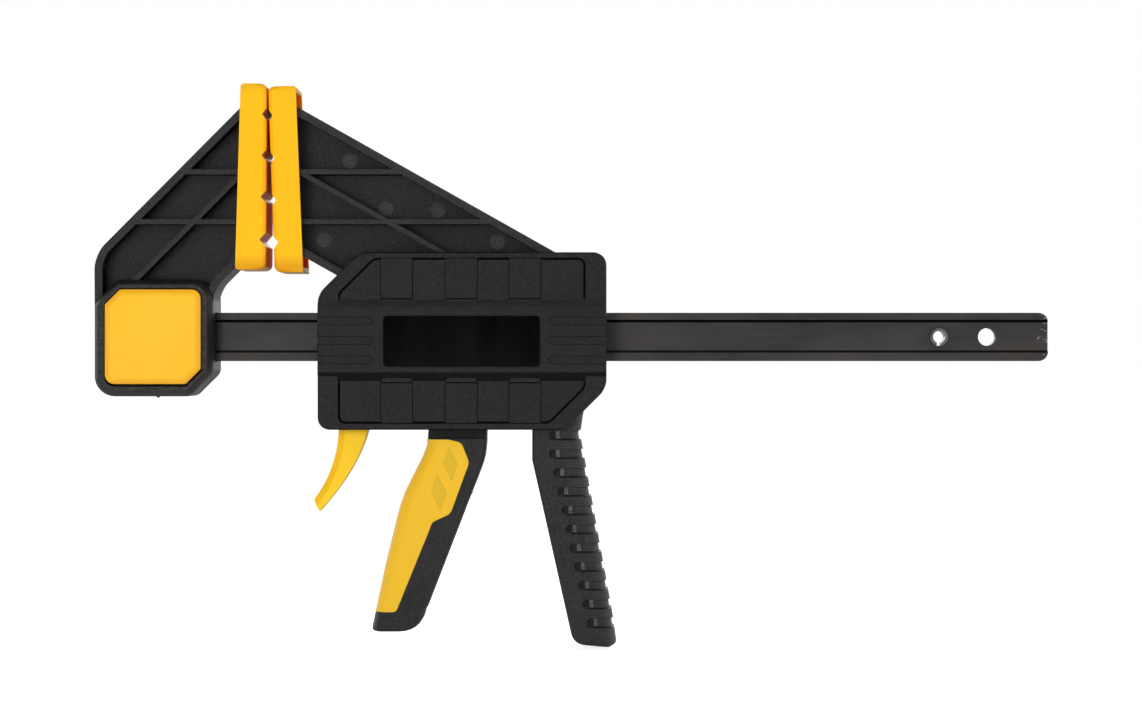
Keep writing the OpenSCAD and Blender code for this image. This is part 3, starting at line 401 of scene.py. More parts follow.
def mouldedYellow(name, base, deep, roughness, grain, scuff, gloss=0.45, ends=None, rim=None, through=0.06):
    # pigmented plastic: slight colour drift, fine grain, faint scuffs; a pad is deeper in tone at its foot and top, and
    # the button is deeper towards its outline, painted shade on its turned border
    w = newLook(name)
    drift, (x, _, z) = w.noise(26, 3, 0.5), w.axes()
    tone = w.blend(w.ramp(drift, 0.35, 0.7), base, deep)
    tone = w.blend(w.ramp(w.noise(900, 2, 0.6), 0.42, 0.64, 0, 0.4), tone, shade(deep, 0.95))
    if ends:
        tone = w.blend(w.ramp(z, 0.0328, 0.0376, 1, 0), tone, ends[0])
        tone = w.blend(w.ramp(z, 0.1120, 0.1152), tone, ends[1])
    # painted shade: the button's border takes a deeper orange
    if rim:
        across = w.sum(x, -rim["x"])
        slant = w.sum(w.sum(w.sum(across, z, "SUBTRACT"), 0, "ABSOLUTE"), rim["cut"] - (rim["w"] + rim["h"]) / 2)
        edge = w.sum(w.sum(w.sum(across, 0, "ABSOLUTE"), -rim["w"] / 2), w.sum(w.sum(z, 0, "ABSOLUTE"), -rim["h"] / 2),
                     "MAXIMUM")
        edge = w.sum(edge, w.times(slant, 0.707), "MAXIMUM")
        tone = w.blend(w.ramp(edge, -0.0034, -0.0010), tone, rim["tone"])
    rub = w.times(w.ramp(w.noise(160, 5, 0.75, (1, 1, 0.35)), 0.66, 0.82), scuff)
    rough = w.sum(w.ramp(drift, 0.3, 0.7, roughness - 0.04, roughness + 0.04),
                  w.ramp(w.noise(900, 2), 0.3, 0.7, -0.03, 0.05))
    w.finish(w.blend(rub, tone, (0.42, 0.30, 0.12)), rough, w.bump(w.noise(1300, 2, 0.5), grain, 0.0001),
             Subsurface_Weight=through, Subsurface_Radius=(0.004, 0.0022, 0.0006),
             Subsurface_Scale=0.5 if through < 0.5 else 1.5, Specular_IOR_Level=gloss)


def hatchedYellow(name, base, line):
    # field of fine slanting lines, duller than the skin round it
    w = newLook(name)
    stripes = w.wave(480, 0.4, "X", w.mapped(Rotation=(0, math.radians(28), 0)))
    w.finish(w.blend(w.ramp(stripes, 0.1, 0.6, 0.5, 0), base, line), w.ramp(w.noise(700, 3), 0.3, 0.7, 0.5, 0.66),
             w.bump(stripes, 0.5, 0.0002), Specular_IOR_Level=0.4)


def blackenedSteel(name):
    # rolled bar with a black oxide skin: brown and grey patches, drawn lines, chipped most at its free end
    w = newLook(name)
    patch, drawn = w.noise(55, 5, 0.65, (0.35, 1, 1)), w.noise(900, 3, 0.6, (0.03, 1, 1))
    brown = w.noise(21, 3, 0.6, (0.5, 1, 1))
    along = w.axes()[0]
    tone = w.blend(w.ramp(patch, 0.35, 0.68), (0.018, 0.018, 0.019), (0.040, 0.039, 0.038))
    tone = w.blend(w.ramp(brown, 0.5, 0.7, 0, 0.6), tone, (0.052, 0.041, 0.033))
    tone = w.blend(w.ramp(drawn, 0.5, 0.8, 0, 0.4), tone, (0.062, 0.060, 0.058))
    nearEnd = w.ramp(along, 0.353, 0.3598, 0, 0.17)
    scratch = w.ramp(w.noise(260, 5, 0.85, (0.3, 1, 1)), 0.69, 0.73)
    chip = w.ramp(w.sum(w.noise(520, 4, 0.8, (0.45, 1, 1)), nearEnd), 0.69, 0.74)
    tone = w.blend(w.times(scratch, 0.35), tone, (0.20, 0.19, 0.17))
    tone = w.blend(w.times(chip, 0.6), tone, (0.36, 0.34, 0.30))
    # painted shade where the bar meets the head
    tone = w.blend(w.ramp(along, -0.0262, -0.0225, 0.9, 0), tone, (0.002, 0.002, 0.002))
    w.finish(tone, w.sum(w.ramp(patch, 0.3, 0.7, 0.34, 0.5), w.ramp(drawn, 0.3, 0.7, -0.05, 0.06)),
             w.bump(drawn, 0.16, 0.0001, w.bump(w.noise(650, 3, 0.6), 0.14, 0.0001)), Specular_IOR_Level=0.6)


def rubbedSteel(name, base, roughness):
    w = newLook(name)
    drawn, stain = w.noise(1400, 3, 0.6, (1, 0.06, 1)), w.noise(180, 4, 0.6)
    rough = w.sum(w.ramp(stain, 0.3, 0.7, roughness - 0.06, roughness + 0.1), w.ramp(drawn, 0.3, 0.7, -0.04, 0.05))
    w.finish(w.blend(w.ramp(stain, 0.4, 0.75), base, shade(base, 0.6)), rough, w.bump(drawn, 0.2, 0.00006),
             Metallic=0.9)


def glossLabel(name):
    # varnished plate: wiped smears show only in its gloss
    w = newLook(name)
    smear = w.noise(60, 4, 0.7, (1, 1, 0.3))
    hair = w.ramp(w.noise(300, 3, 0.6, (0.08, 1, 1)), 0.7, 0.8)
    w.finish(w.blend(w.times(hair, 0.5), (0.0008, 0.0008, 0.0009), (0.010, 0.010, 0.010)),
             w.ramp(smear, 0.35, 0.7, 0.10, 0.20), w.bump(smear, 0.05, 0.0001),
             Specular_IOR_Level=0.3, Coat_Weight=0.15, Coat_Roughness=0.06)


mouldedBlack("nylon", (0.0071, 0.0071, 0.0073))
mouldedBlack("nylonDeep", (0.0050, 0.0050, 0.0052), (0.05, 0.05, 0.047), 0.5, 0.55)
# near-black copies for painted shade in grooves, creases and on walls that turn away from the light
mouldedBlack("nylonGroove", (0.0010, 0.0010, 0.0010), (0.02, 0.02, 0.02), 0.3, 0.80, 0.08)
mouldedBlack("nylonLine", (0.0030, 0.0030, 0.0030), deepDust, 0.3, 0.70, 0.15)
mouldedBlack("nylonArm", (0.0100, 0.0100, 0.0101))
mouldedBlack("nylonPinMark", (0.0300, 0.0300, 0.0305), grain=0.15, roughness=0.40, speckle=0.3)
# lighter copy of the arm's nylon for its flange fronts: painted light
mouldedBlack("nylonFlange", (0.0140, 0.0140, 0.0141))
mouldedBlack("nylonHead", (0.0105, 0.0103, 0.0098), roughness=0.48)
# lighter, warm copy for the head's ring: painted reflection of the yellow button
mouldedBlack("nylonRing", (0.0170, 0.0163, 0.0145), grain=0.4, roughness=0.46)
mouldedBlack("nylonHandle", (0.0145, 0.0145, 0.0145), (0.08, 0.08, 0.076), 0.7, speckle=0.6)
mouldedBlack("nylonGrip", (0.0165, 0.0165, 0.0165), roughness=0.46, speckle=0.5,
             ridges={"from": 0.1228, "lean": 0.2235, "pitch": 0.0009, "top": -0.0431, "step": 0.00865,
                     "line": ((0.00365, 0.0047), (0.0039, 0.0045)),
                     "reach": ((-0.1362, -0.0429), (-0.1360, -0.0431))})
# lighter, glossier copy for the ramps of the grip's pits: painted highlight
mouldedBlack("nylonFacet", (0.0420, 0.0420, 0.0420), dustGrey, 0.2, 0.34, 0.6)
mouldedYellow("button", (0.99, 0.530, 0.004), (0.97, 0.509, 0.002), 0.42, 0.15, 0.10, 0.9,
              rim={"x": -0.0532, "w": 0.044, "h": 0.0435, "cut": 0.007, "tone": (0.87, 0.43, 0.0003)})
mouldedYellow("pad", (0.985, 0.522, 0.002), (0.965, 0.50, 0.0012), 0.44, 0.2, 0.2,
              ends=((0.78, 0.35, 0.0005), (0.83, 0.43, 0.0030)))
# deeper orange copy for the pads' rounded face edges: painted shade
mouldedYellow("padEdgeShade", (1.0, 0.44, 0.0005), (0.98, 0.42, 0.0003), 0.44, 0.2, 0.25, 0.3,
              ends=((0.74, 0.30, 0.0004), (0.83, 0.40, 0.0020)))
# deeper red-orange copy for the pad's hollow: painted shade, with light let through
mouldedYellow("padInsideShade", (1.0, 0.34, 0.004), (1.0, 0.30, 0.003), 0.5, 0.2, 0.1, 0.1, through=0.9)
# deep red-brown copy for the clamping face: painted shade
mouldedYellow("padFaceShade", (0.80, 0.20, 0.003), (0.74, 0.17, 0.002), 0.6, 0.2, 0.1, 0.03)
# pale lit copy for the notch walls, painted light, and a shaded copy for those that face down, painted shade
mouldedYellow("padNotch", (0.95, 0.50, 0.28), (0.90, 0.44, 0.24), 0.32, 0.2, 0.1, 1.0)
mouldedYellow("padNotchShade", (0.72, 0.34, 0.19), (0.66, 0.30, 0.16), 0.5, 0.2, 0.1, 0.35)
mouldedYellow("lever", (1.0, 0.62, 0.019), (0.99, 0.60, 0.014), 0.40, 0.15, 0.10)
# deeper orange copy for the lever's chamfer: painted shade
mouldedYellow("leverEdge", (1.0, 0.565, 0.010), (0.99, 0.545, 0.007), 0.42, 0.15, 0.12, 0.4)
mouldedYellow("softSkin", (0.895, 0.532, 0.016), (0.895, 0.522, 0.009), 0.46, 0.35, 0.10, 0.8)
hatchedYellow("softHatch", (0.79, 0.515, 0.030), (0.60, 0.375, 0.018))
blackenedSteel("barSteel")
# near-black copy for painted shade in the bar's corners
mouldedBlack("barCorner", (0.0008, 0.0008, 0.0008), deepDust, 0.3, 0.80, 0.05)
rubbedSteel("plateSteel", (0.42, 0.41, 0.40), 0.34)
rubbedSteel("screwSteel", (0.50, 0.49, 0.46), 0.30)
rubbedSteel("springSteel", (0.30, 0.30, 0.30), 0.32)
glossLabel("labelGloss")
print("materials ready:", len(looks))

# Bar: I-section drawn along X, ends rounded, cross holes drilled

barSizes = {"left": -75.5, "right": 359.7, "half": 11.2, "thick": 4.0, "web": 2.5, "edgeFoot": 7.3, "webFoot": 6.3,
            "edgeTop": 7.9, "webTop": 6.75, "corner": 4.5, "holes": (309.2, 331.5), "holeR": 4.1}


def makeBar(s):
    side = [(s["thick"], -s["half"]), (s["thick"], -s["edgeFoot"]), (s["web"], -s["webFoot"]),
            (s["web"], s["webTop"]), (s["thick"], s["edgeTop"]), (s["thick"], s["half"])]
    piece = outlinePlate("barSteel", side + [(-y, z) for y, z in side[::-1]], s["left"], s["right"], along="X")
    ends = rounded(s["left"], s["right"], -s["half"], s["half"], s["corner"])
    carve(piece, outlinePlate("barEnds", ends, -9, 9, segments=6), "INTERSECT")
    for x in s["holes"]:
        carve(piece, rod("drill", x, 0, s["holeR"], -9, 9, 48))
    soften(piece, 0.4, 2, 25)
    finishPiece(piece, "barSteel barCorner nylonLine", "bar_and_fixed_jaw", "bar_steel", "bar")
    # painted shade: near-black along the slope where the web meets the upper edge, dark along the one at the lower edge
    markPlaces(piece, lambda at, way: s["webTop"] - 0.6 < at.z < s["edgeTop"] + 0.5 and abs(way.z) > 0.12
               and s["web"] - 0.1 < abs(at.y))
    markPlaces(piece, lambda at, way: s["webFoot"] - 0.25 < -at.z < s["edgeFoot"] + 0.1
               and s["web"] - 0.05 < abs(at.y) < s["thick"] - 0.25, 2)


makeBar(barSizes)

# Stop pin: rolled tube with its slit at the bottom

pinSizes = {"x": 309.2, "outer": 4.06, "wall": 1.25, "half": 4.0, "slit": 2.1}


def makeStopPin(s):
    piece = rod("stopPin", s["x"], 0, s["outer"], -s["half"], s["half"], 56, "NOTHING")
    change(piece, "SOLIDIFY", thickness=s["wall"], offset=-1)
    editOn(piece)
    tidyNormals()
    editOff()
    carve(piece, box("slit", (s["x"] - s["slit"] / 2, -20, -9), (s["x"] + s["slit"] / 2, 20, 0)))
    soften(piece, 0.3, 2, 40)
    finishPiece(piece, "springSteel", "bar_and_fixed_jaw", "pin_steel", "stop_pin")


makeStopPin(pinSizes)
print("bar and stop pin made")

# Arms: a plate with flanges round its edge, and ribs between pockets

fixedArmSizes = {"half": 12, "flange": 3.6, "web": 4, "rib": 2.3, "levels": (76, 53), "slant": (-11.35, 77),
                 "steep": math.radians(45),
                 "outline": [(-80.8, 8), (-26.5, 8), (-26.3, 21.5, 14), (-15.35, 32.45), (-5.78, 32.45),
                             (-5.07, 114.3), (-81, 37.83, 16)],
                 "marks": [(-33.6, 68.6), (-54.8, 44.6), (-17.2, 88), (-20.3, 46.2)], "markR": 3.4,
                 "buttonRoom": [(-75.9, -20, 0), (-30.5, -7.9, 22.4)]}


def depthInside(corners, at):
    # how far a place lies inside the nearest straight side of an outline
    depths = []
    for i, corner in enumerate(corners):
        start, end = Vector(corners[i - 1][:2]), Vector(corner[:2])
        side = (end - start).normalized()
        depths.append(abs((at.x - start.x) * side.y - (at.z - start.y) * side.x))
    return min(depths)


def makeArm(name, s, body, node):
    # cut as a front half, with the pockets between the rib lines, then mirrored
    half, floor, rib = s["half"], s["web"] / 2, s["rib"] / 2
    slant, side = Vector((s["slant"][0], 0, s["slant"][1])), Vector((math.sin(s["steep"]), 0, -math.cos(s["steep"])))
    piece = outlinePlate(name, s["outline"], -half, 0, segments=6)
    editOn(piece)
    insetFront(piece, s["flange"])
    mark(piece, 1)
    cuts = [((0, 0, level + step), (0, 0, 1)) for level in s["levels"] for step in (-rib, rib)]
    for spot, way in cuts + [(slant + side * step, side) for step in (-rib, rib)]:
        pick(piece, lambda at, part: part.material_index == 1)
        split(spot, way)
    print(name, "pockets:", pick(piece, lambda at, part: part.material_index == 1 and abs((at - slant).dot(side)) > rib
                                 and all(abs(at.z - level) >= rib for level in s["levels"])))
    pull(y=half - floor)
    bpy.ops.mesh.select_all(action="SELECT")
    mark(piece, 0)
    pick(piece, lambda at, part: abs(at.y) < touch and abs(part.normal.y) > 0.99)
    bpy.ops.mesh.delete(type="FACE")
    editOff()
    change(piece, "MIRROR", use_axis=(False, True, False), merge_threshold=0.001)
    # the round marks that the mould's pins leave on the pocket floors
    join(piece, *[rod("mark", x, z, s["markR"], y * (floor - 0.5), y * (floor + 0.28), 28)
                  for x, z in s["marks"] for y in (-1, 1)])
    if "buttonRoom" in s:
        carve(piece, box("buttonRoom", *s["buttonRoom"]))
    if "tongue" in s:
        join(piece, outlinePlate("tongue", s["tongue"], -half, half))
    soften(piece, 0.35, 2)
    finishPiece(piece, "nylonArm nylonPinMark nylonLine nylonFlange", body, "black_nylon", node)
    # the flange fronts take a lighter copy: painted light
    markPlaces(piece, lambda at, way: abs(at.y) > half - 0.4 and abs(way.y) > 0.5, 3)
    # painted shade on the pocket walls
    markPlaces(piece, lambda at, way: abs(way.y) < 0.35 and floor + 0.3 < abs(at.y) < half - 0.4
               and depthInside(s["outline"], at) > 2.2, 2)
    markPlaces(piece, lambda at, way: abs(abs(at.y) - floor - 0.28) < 0.02
               and any(math.hypot(at.x - x, at.z - z) < s["markR"] - 0.1 for x, z in s["marks"]))


makeArm("fixedArm", fixedArmSizes, "bar_and_fixed_jaw", "fixed_jaw")

# Head: block round the bar with a flat ring inside a rounded shoulder, a well for the button and a slot for the bar

headSizes = {"x0": -81, "x1": -26.3, "z0": -27.5, "z1": 26.5, "half": 17, "chamfer": 10.8, "corner": 9.3,
             "cutRound": 4.5, "shoulder": 2.5, "shoulderDeep": 4.8,
             "gap": 0.55, "gapFoot": 0.6, "wellFloor": -8.0, "coverFace": 14, "rim": 4.4,
             "slot": [(-76, -4.25, -11.45), (0, 4.25, 11.45)], "screws": (-70.7, -35.7), "screwR": 3.35}
buttonSizes = {"x": -53.2, "w": 44, "h": 43.5, "chamfer": 7.0, "corner": 4.3, "front": -18.3, "back": -13.5,
               "border": 2.4, "rise": 1.0}


def headOutline(s, inset=0):
    c, r = s["chamfer"] - inset * cutLoss, s["corner"] - inset
    return cutOutline(*limits(s, inset), c, c, max(s["cutRound"] - inset, 0) if inset < 4 else 0, r, r)


def buttonOutline(b, grow=0, drop=0):
    x0, x1 = b["x"] - b["w"] / 2 - grow, b["x"] + b["w"] / 2 + grow
    z0, z1 = -b["h"] / 2 - grow - drop, b["h"] / 2 + grow
    c, r = b["chamfer"] + cutLoss * grow, b["corner"] + grow
    return cutOutline(x0, x1, z0, z1, c, c, 0, r, r)


def makeHead(s, b):
    half, step = s["half"], s["shoulderDeep"] - s["half"]
    piece = outlinePlate("fixedHead", headOutline(s), step, half, segments=8)
    editOn(piece)
    insetFront(piece, s["shoulder"], s["shoulderDeep"])
    for y, width in ((step, 1.7), (-half, 0.9), (half, 1.2)):
        bevelEdges(piece, atY(y), width)
    editOff()
    carve(piece, outlinePlate("well", buttonOutline(b, s["gap"], s["gapFoot"]), -half - 3, s["wellFloor"]))
    carve(piece, box("slot", *s["slot"]))
    carve(piece, outlinePlate("seat", headOutline(s, s["rim"]), s["coverFace"], half + 3))
    # what the mould's gate left under the head
    carve(piece, rod("gateNub", -51.6, s["z0"] + 0.1, 0.7, -12, -10.6, 14), "UNION")
    soften(piece, 0.25, 2)
    finishPiece(piece, "nylonHead nylonRing nylon nylonGroove", "bar_and_fixed_jaw", "black_nylon", "fixed_jaw")
    ring = 0.3 - half
    # the ring's front takes the lighter, warm copy, painted reflection of the yellow button; the shoulder a darker
    # copy, painted shade
    markPlaces(piece, lambda at, way: at.y < ring and way.y < -0.6)
    markPlaces(piece, lambda at, way: ring <= at.y < ring + s["shoulderDeep"] + 0.2 and way.y < -0.1, 2)
    # painted shade on the walls round the button, where they look inwards
    markPlaces(piece, lambda at, way: at.y < s["wellFloor"] and abs(way.y) < 0.3
               and (at.x - b["x"]) * way.x + at.z * way.z < 0 and abs(at.x - b["x"]) < b["w"] / 2 + 1, 3)


def makeBackCover(s):
    piece = outlinePlate("backCover", headOutline(s, s["rim"] + 0.15), s["coverFace"], s["half"])
    for x in s["screws"]:
        carve(piece, rod("sink", x, 0, s["screwR"], s["half"] - 1.6, s["half"] + 2, 36))
    soften(piece, 0.3, 2)
    finishPiece(piece, "nylonHead", "bar_and_fixed_jaw", "black_nylon", "back_cover")


def makeButton(b):
    # field raised inside a sloped border
    piece = outlinePlate("pushButton", buttonOutline(b), b["front"], b["back"], segments=6)
    editOn(piece)
    insetFront(piece, b["border"], b["rise"])
    editOff()
    soften(piece, 0.8, 4, 14)
    finishPiece(piece, "button", "button", "yellow_plastic", "release_button", smooth=50)


makeHead(headSizes, buttonSizes)
makeBackCover(headSizes)
makeButton(buttonSizes)
print("fixed jaw, head and button made")

# Pads: soft sheaths, open towards their arm, with V notches across the face

padSizes = {"top": 116.4, "foot": 30.9, "half": 15.0, "side": 2.2, "cap": 2.3, "wall": 4.6, "mouth": 0.8,
            "faceRound": 1.7, "topRound": 0.6, "footRound": 1.3}
fixedPadSizes = {"faceTop": -1.2, "faceFoot": -1.75, "backTop": -13.3, "backFoot": -15.85, "backRound": 1.5, "drop": 0,
                 "heights": (44.6, 64.4, 83.4, 102.4), "depths": (3.1, 2.8, 2.5, 2.4), "halves": (3.2, 3.0, 2.9, 2.8),
                 "tapers": (0.94, 0.4, 0.3, 0.4)}
movingPadSizes = {"faceTop": -0.85, "faceFoot": 2.2, "backTop": 11.9, "backFoot": 15.4, "backRound": 0.5, "drop": 1.2,
                  "heights": (43.2, 62.7, 82.1, 101.6), "depths": (2.3, 2.0, 1.9, 1.8), "halves": (2.8, 2.5, 2.4, 2.3),
                  "tapers": (1, 0.9, 0.8, 0.8)}


def makePad(name, s, own, body, node):
    faceTop, faceFoot, backTop, backFoot = own["faceTop"], own["faceFoot"], own["backTop"], own["backFoot"]
    way, half, wall = 1 if backTop > faceTop else -1, s["half"], s["wall"]
    top, foot = s["top"] - own["drop"], s["foot"] - own["drop"]
    piece = outlinePlate(name, [(faceTop, top, 2.8), (backTop, top, own["backRound"]),
                                (backFoot, foot, own["backRound"]), (faceFoot, foot, 3.0)], -half, half, segments=6)
    for look in ("pad", "padEdgeShade", "padInsideShade", "padFaceShade", "padNotch", "padNotchShade"):
        piece.data.materials.append(looks[look])

    def faceX(z):
        return faceFoot + (faceTop - faceFoot) * (z - foot) / (top - foot)

    def fromFace(at):
        # how far a place lies behind the clamping face
        return (at.x - faceX(at.z)) * way

    def onSide(at):
        return abs(abs(at.y) - half) < touch
    # the edges at the face are rounded and take a deeper orange, painted shade where they turn from the light; top and
    # foot are rounded less
    editOn(piece)
    bevelEdges(piece, lambda at, part: onSide(at) and fromFace(at) < 3.05, s["faceRound"], 4)
    mark(piece, 1)
    for height, width in ((foot, s["footRound"]), (top, s["topRound"])):
        bevelEdges(piece, lambda at, part: onSide(at) and fromFace(at) > 3.2 and abs(at.z - height) < 1e-2, width, 4)
    editOff()
    # notches with eased mouths, narrower towards the rear
    for z, d, h, taper in zip(own["heights"], own["depths"], own["halves"], own["tapers"]):
        x, m = faceX(z), s["mouth"]
        tool = outlinePlate("vee", [(x + way * d, z, 0.5), (x + way * 0.25, z - h, m), (x - way * 1.5, z - h - 1.2),
                                    (x - way * 1.5, z + h + 1.2), (x + way * 0.25, z + h, m)], -20, 20, segments=3)
        editOn(tool)
        scalePoints(tool, lambda at, part: at.y > 19, (taper, 1, taper), (x - way * 0.3, 20, z))
        editOff()
        carve(piece, tool)
    low, high = foot + s["cap"], top - s["cap"]
    inner = [(faceTop + way * wall, high, 1.2), (backTop + way * 9, high), (backFoot + way * 9, low),
             (faceFoot + way * wall, low, 1.2)]
    carve(piece, outlinePlate("hollow", inner, s["side"] - half, half - s["side"]))

    def onFace(at, part):
        return (part.material_index != 1 and abs(part.normal.y) < 0.5 and fromFace(at) < wall - 0.4
                and foot + 0.5 < at.z < top - 0.5)
    # painted shade on the clamping face and in the hollow, which also lets light through; the notch walls take a pale
    # lit copy, painted light, and a shaded copy where they face down
    editOn(piece)
    for index, test in ((3, onFace),
                        (4, lambda at, part: onFace(at, part) and abs(part.normal.z) > 0.3 and fromFace(at) > 0.3),
                        (5, lambda at, part: onFace(at, part) and part.normal.z < -0.3 and fromFace(at) > 0.3),
                        (2, lambda at, part: fromFace(at) > wall - 0.1 and abs(at.y) < half - s["side"] + 0.05
                         and low - 0.05 < at.z < high + 0.05)):
        pick(piece, test)
        mark(piece, index)
    editOff()
    soften(piece, 0.3, 2, 40)
    finishPiece(piece, "", body, "pad_yellow", node)


makePad("fixedPad", padSizes, fixedPadSizes, "bar_and_fixed_jaw", "fixed_pad")
makePad("movingPad", padSizes, movingPadSizes, "sliding_jaw", "moving_pad")
print("pads made")

# Moving arm: its foot is hidden between the covers, and its tongue stands behind the pad

movingArmSizes = {"half": 12, "flange": 3.6, "web": 4, "rib": 2.3, "levels": (76, 53), "slant": (6.2, 80),
                  "steep": math.radians(-29.4),
                  "outline": [(7.39, 41.4), (41.8, 22.05), (123.8, 22.05), (140.9, 33.5), (5.12, 110.0)],
                  "marks": [(36.0, 81.6), (52.6, 59.3), (76.7, 58.6), (24.1, 45), (104.4, 44.1)], "markR": 3.5,
                  "tongue": [(7.39, 31.25), (11.39, 31.25), (11.39, 48), (6.95, 48)]}

makeArm("movingArm", movingArmSizes, "sliding_jaw", "moving_jaw")

# Housing frame between the covers, with mouths for the trigger and the release lever

coverSizes = {"x0": 22.4, "x1": 154.8, "z0": -42.7, "z1": 38.7, "cut": 19.4, "under": 19.0, "corner": 9.5,
              "footRound": 5.5, "topRound": 6,
              "inner": 12, "margin": 19.1, "panel": 18.1, "groove": 17.6, "grooveW": 1.0, "band": 20,
              "bandTop": 13.6, "bandFoot": -16.3, "slope": 1.6, "slopeFoot": 1.9, "edge": 0.8,
              "panelX": (31.7, 145.2), "upperPanel": (36.2, 16.3), "lowerPanel": (39.9, 16.4),
              "slotEnds": (48.3, 127.8), "slotZ": (-10.65, -1.75, 7.15), "slotR": 2.2, "slotDepth": 0.7,
              "slotLean": 0.5,
              "blocks": (51.4, 81.0, 110.2), "blockW": 14.4, "blockRise": 0.45, "line": 0.32,
              # heights of each row's block and ledge, of the lines beside them, outside them and between them
              "blockRows": [((17.7, 37.2), (14.6, 17.14), (17.8, 35.6), (35.85, 36.2), (17.15, 17.69)),
                            ((-40.6, -21.4), (-20.84, -18.4), (-39.3, -21.5), (-39.9, -39.55), (-21.39, -20.85))],
              "screws": [(46.9, 32.0), (148.1, 32.0), (63.0, -36.0), (127.6, -36.0)], "screwR": 3.35}
frameSizes = {"half": 12, "step": 1.0, "wall": 4.2, "mouths": [(28.1, 56.5), (71.6, 120.6)], "partition": (58, 62),
              "brakeSeat": (33.5, 45.5), "window": [(0, -4.25, -11.45), (400, 4.25, 11.45)]}
plateSizes = {"x0": 52.6, "x1": 124.4, "z0": -13.8, "z1": 9.5, "corner": 1.8, "front": -20.05, "back": -19.2,
              "gap": 0.18}


def coverOutline(s, inset=0):
    return cutOutline(*limits(s, inset), s["under"] - cutLoss * inset, s["cut"] - cutLoss * inset, s["corner"] - inset,
                      s["footRound"] - inset if inset < 5 else 0.5, s["topRound"] - inset)


def makeFrame(s, cover):
    half, foot, top = s["half"], cover["z0"], cover["z1"]
    piece = outlinePlate("housingFrame", coverOutline(cover, s["step"]), -half, half)
    carve(piece, outlinePlate("room", coverOutline(cover, s["step"] + s["wall"]), -half - 2, half + 2))
    for x0, x1 in s["mouths"]:
        carve(piece, box("mouth", (x0, -half - 2, foot - 2), (x1, half + 2, foot + 6.5)))
    (wall0, wall1), (seat0, seat1) = s["partition"], s["brakeSeat"]
    join(piece, box("partition", (wall0, -half, foot + 2), (wall1, half, top - 2)),
         box("brakeSeat", (seat0, -9, 17), (seat1, 9, top - 2)))
    carve(piece, box("barWindow", *s["window"]))
    soften(piece, 0.4, 2)
    finishPiece(piece, "nylonDeep", "sliding_jaw", "black_nylon", "moving_jaw")


makeFrame(frameSizes, coverSizes)

# Covers: band with side slots between two sunk panels; the front one carries the plate


def panelOutline(s, upper, inset=0):
    # sunk panel beside the band, the lower one turned upside down; the inset leaves its band side where it is
    low, (high, cut) = (s["bandTop"], s["upperPanel"]) if upper else (-s["bandFoot"], s["lowerPanel"])
    x0, x1, z, c, r = s["panelX"][0] + inset, s["panelX"][1] - inset, high - inset, cut - cutLoss * inset, 5.5 - inset
    points = [(x0, low), (x1, low), (x1, z, 3.4 - inset), (x0 + c, z, r), (x0, z - c, r - 1.2)]
    return points if upper else [(x0 + x1 - x, -z, *rest) for x, z, *rest in points]


def panelTool(s, upper, side):
    # what sinks a panel: its edge at the band leans in the band's own slope
    low = s["bandTop"] if upper else s["bandFoot"]
    tool = outlinePlate("panelTool", panelOutline(s, upper), side * s["groove"], side * (s["band"] + 0.001))
    rise = (s["slope"] if upper else -s["slopeFoot"]) / (s["band"] - s["margin"]) * (s["band"] - s["groove"])
    editOn(tool)
    shiftPoints(tool, lambda at, part: abs(abs(at.y) - s["groove"]) < touch and abs(at.z - low) < touch, (0, 0, rise))
    editOff()
    return tool


def slotTool(s, z, x0, x1, side):
    # side slot with leaning walls
    r, floor = s["slotR"], side * (s["band"] - s["slotDepth"])
    tool = outlinePlate("slot", rounded(x0, x1, z - r, z + r, r - 0.01), floor, side * (s["band"] + 1))
    half = (x1 - x0) / 2
    editOn(tool)
    scalePoints(tool, lambda at, part: abs(at.y) < s["band"],
                ((half - s["slotLean"]) / half, 1, (r - s["slotLean"]) / r), ((x0 + x1) / 2, floor, z))
    editOff()
    return tool


def plateOutline(p, grow=0):
    return rounded(*limits(p, -grow), p["corner"] + grow)


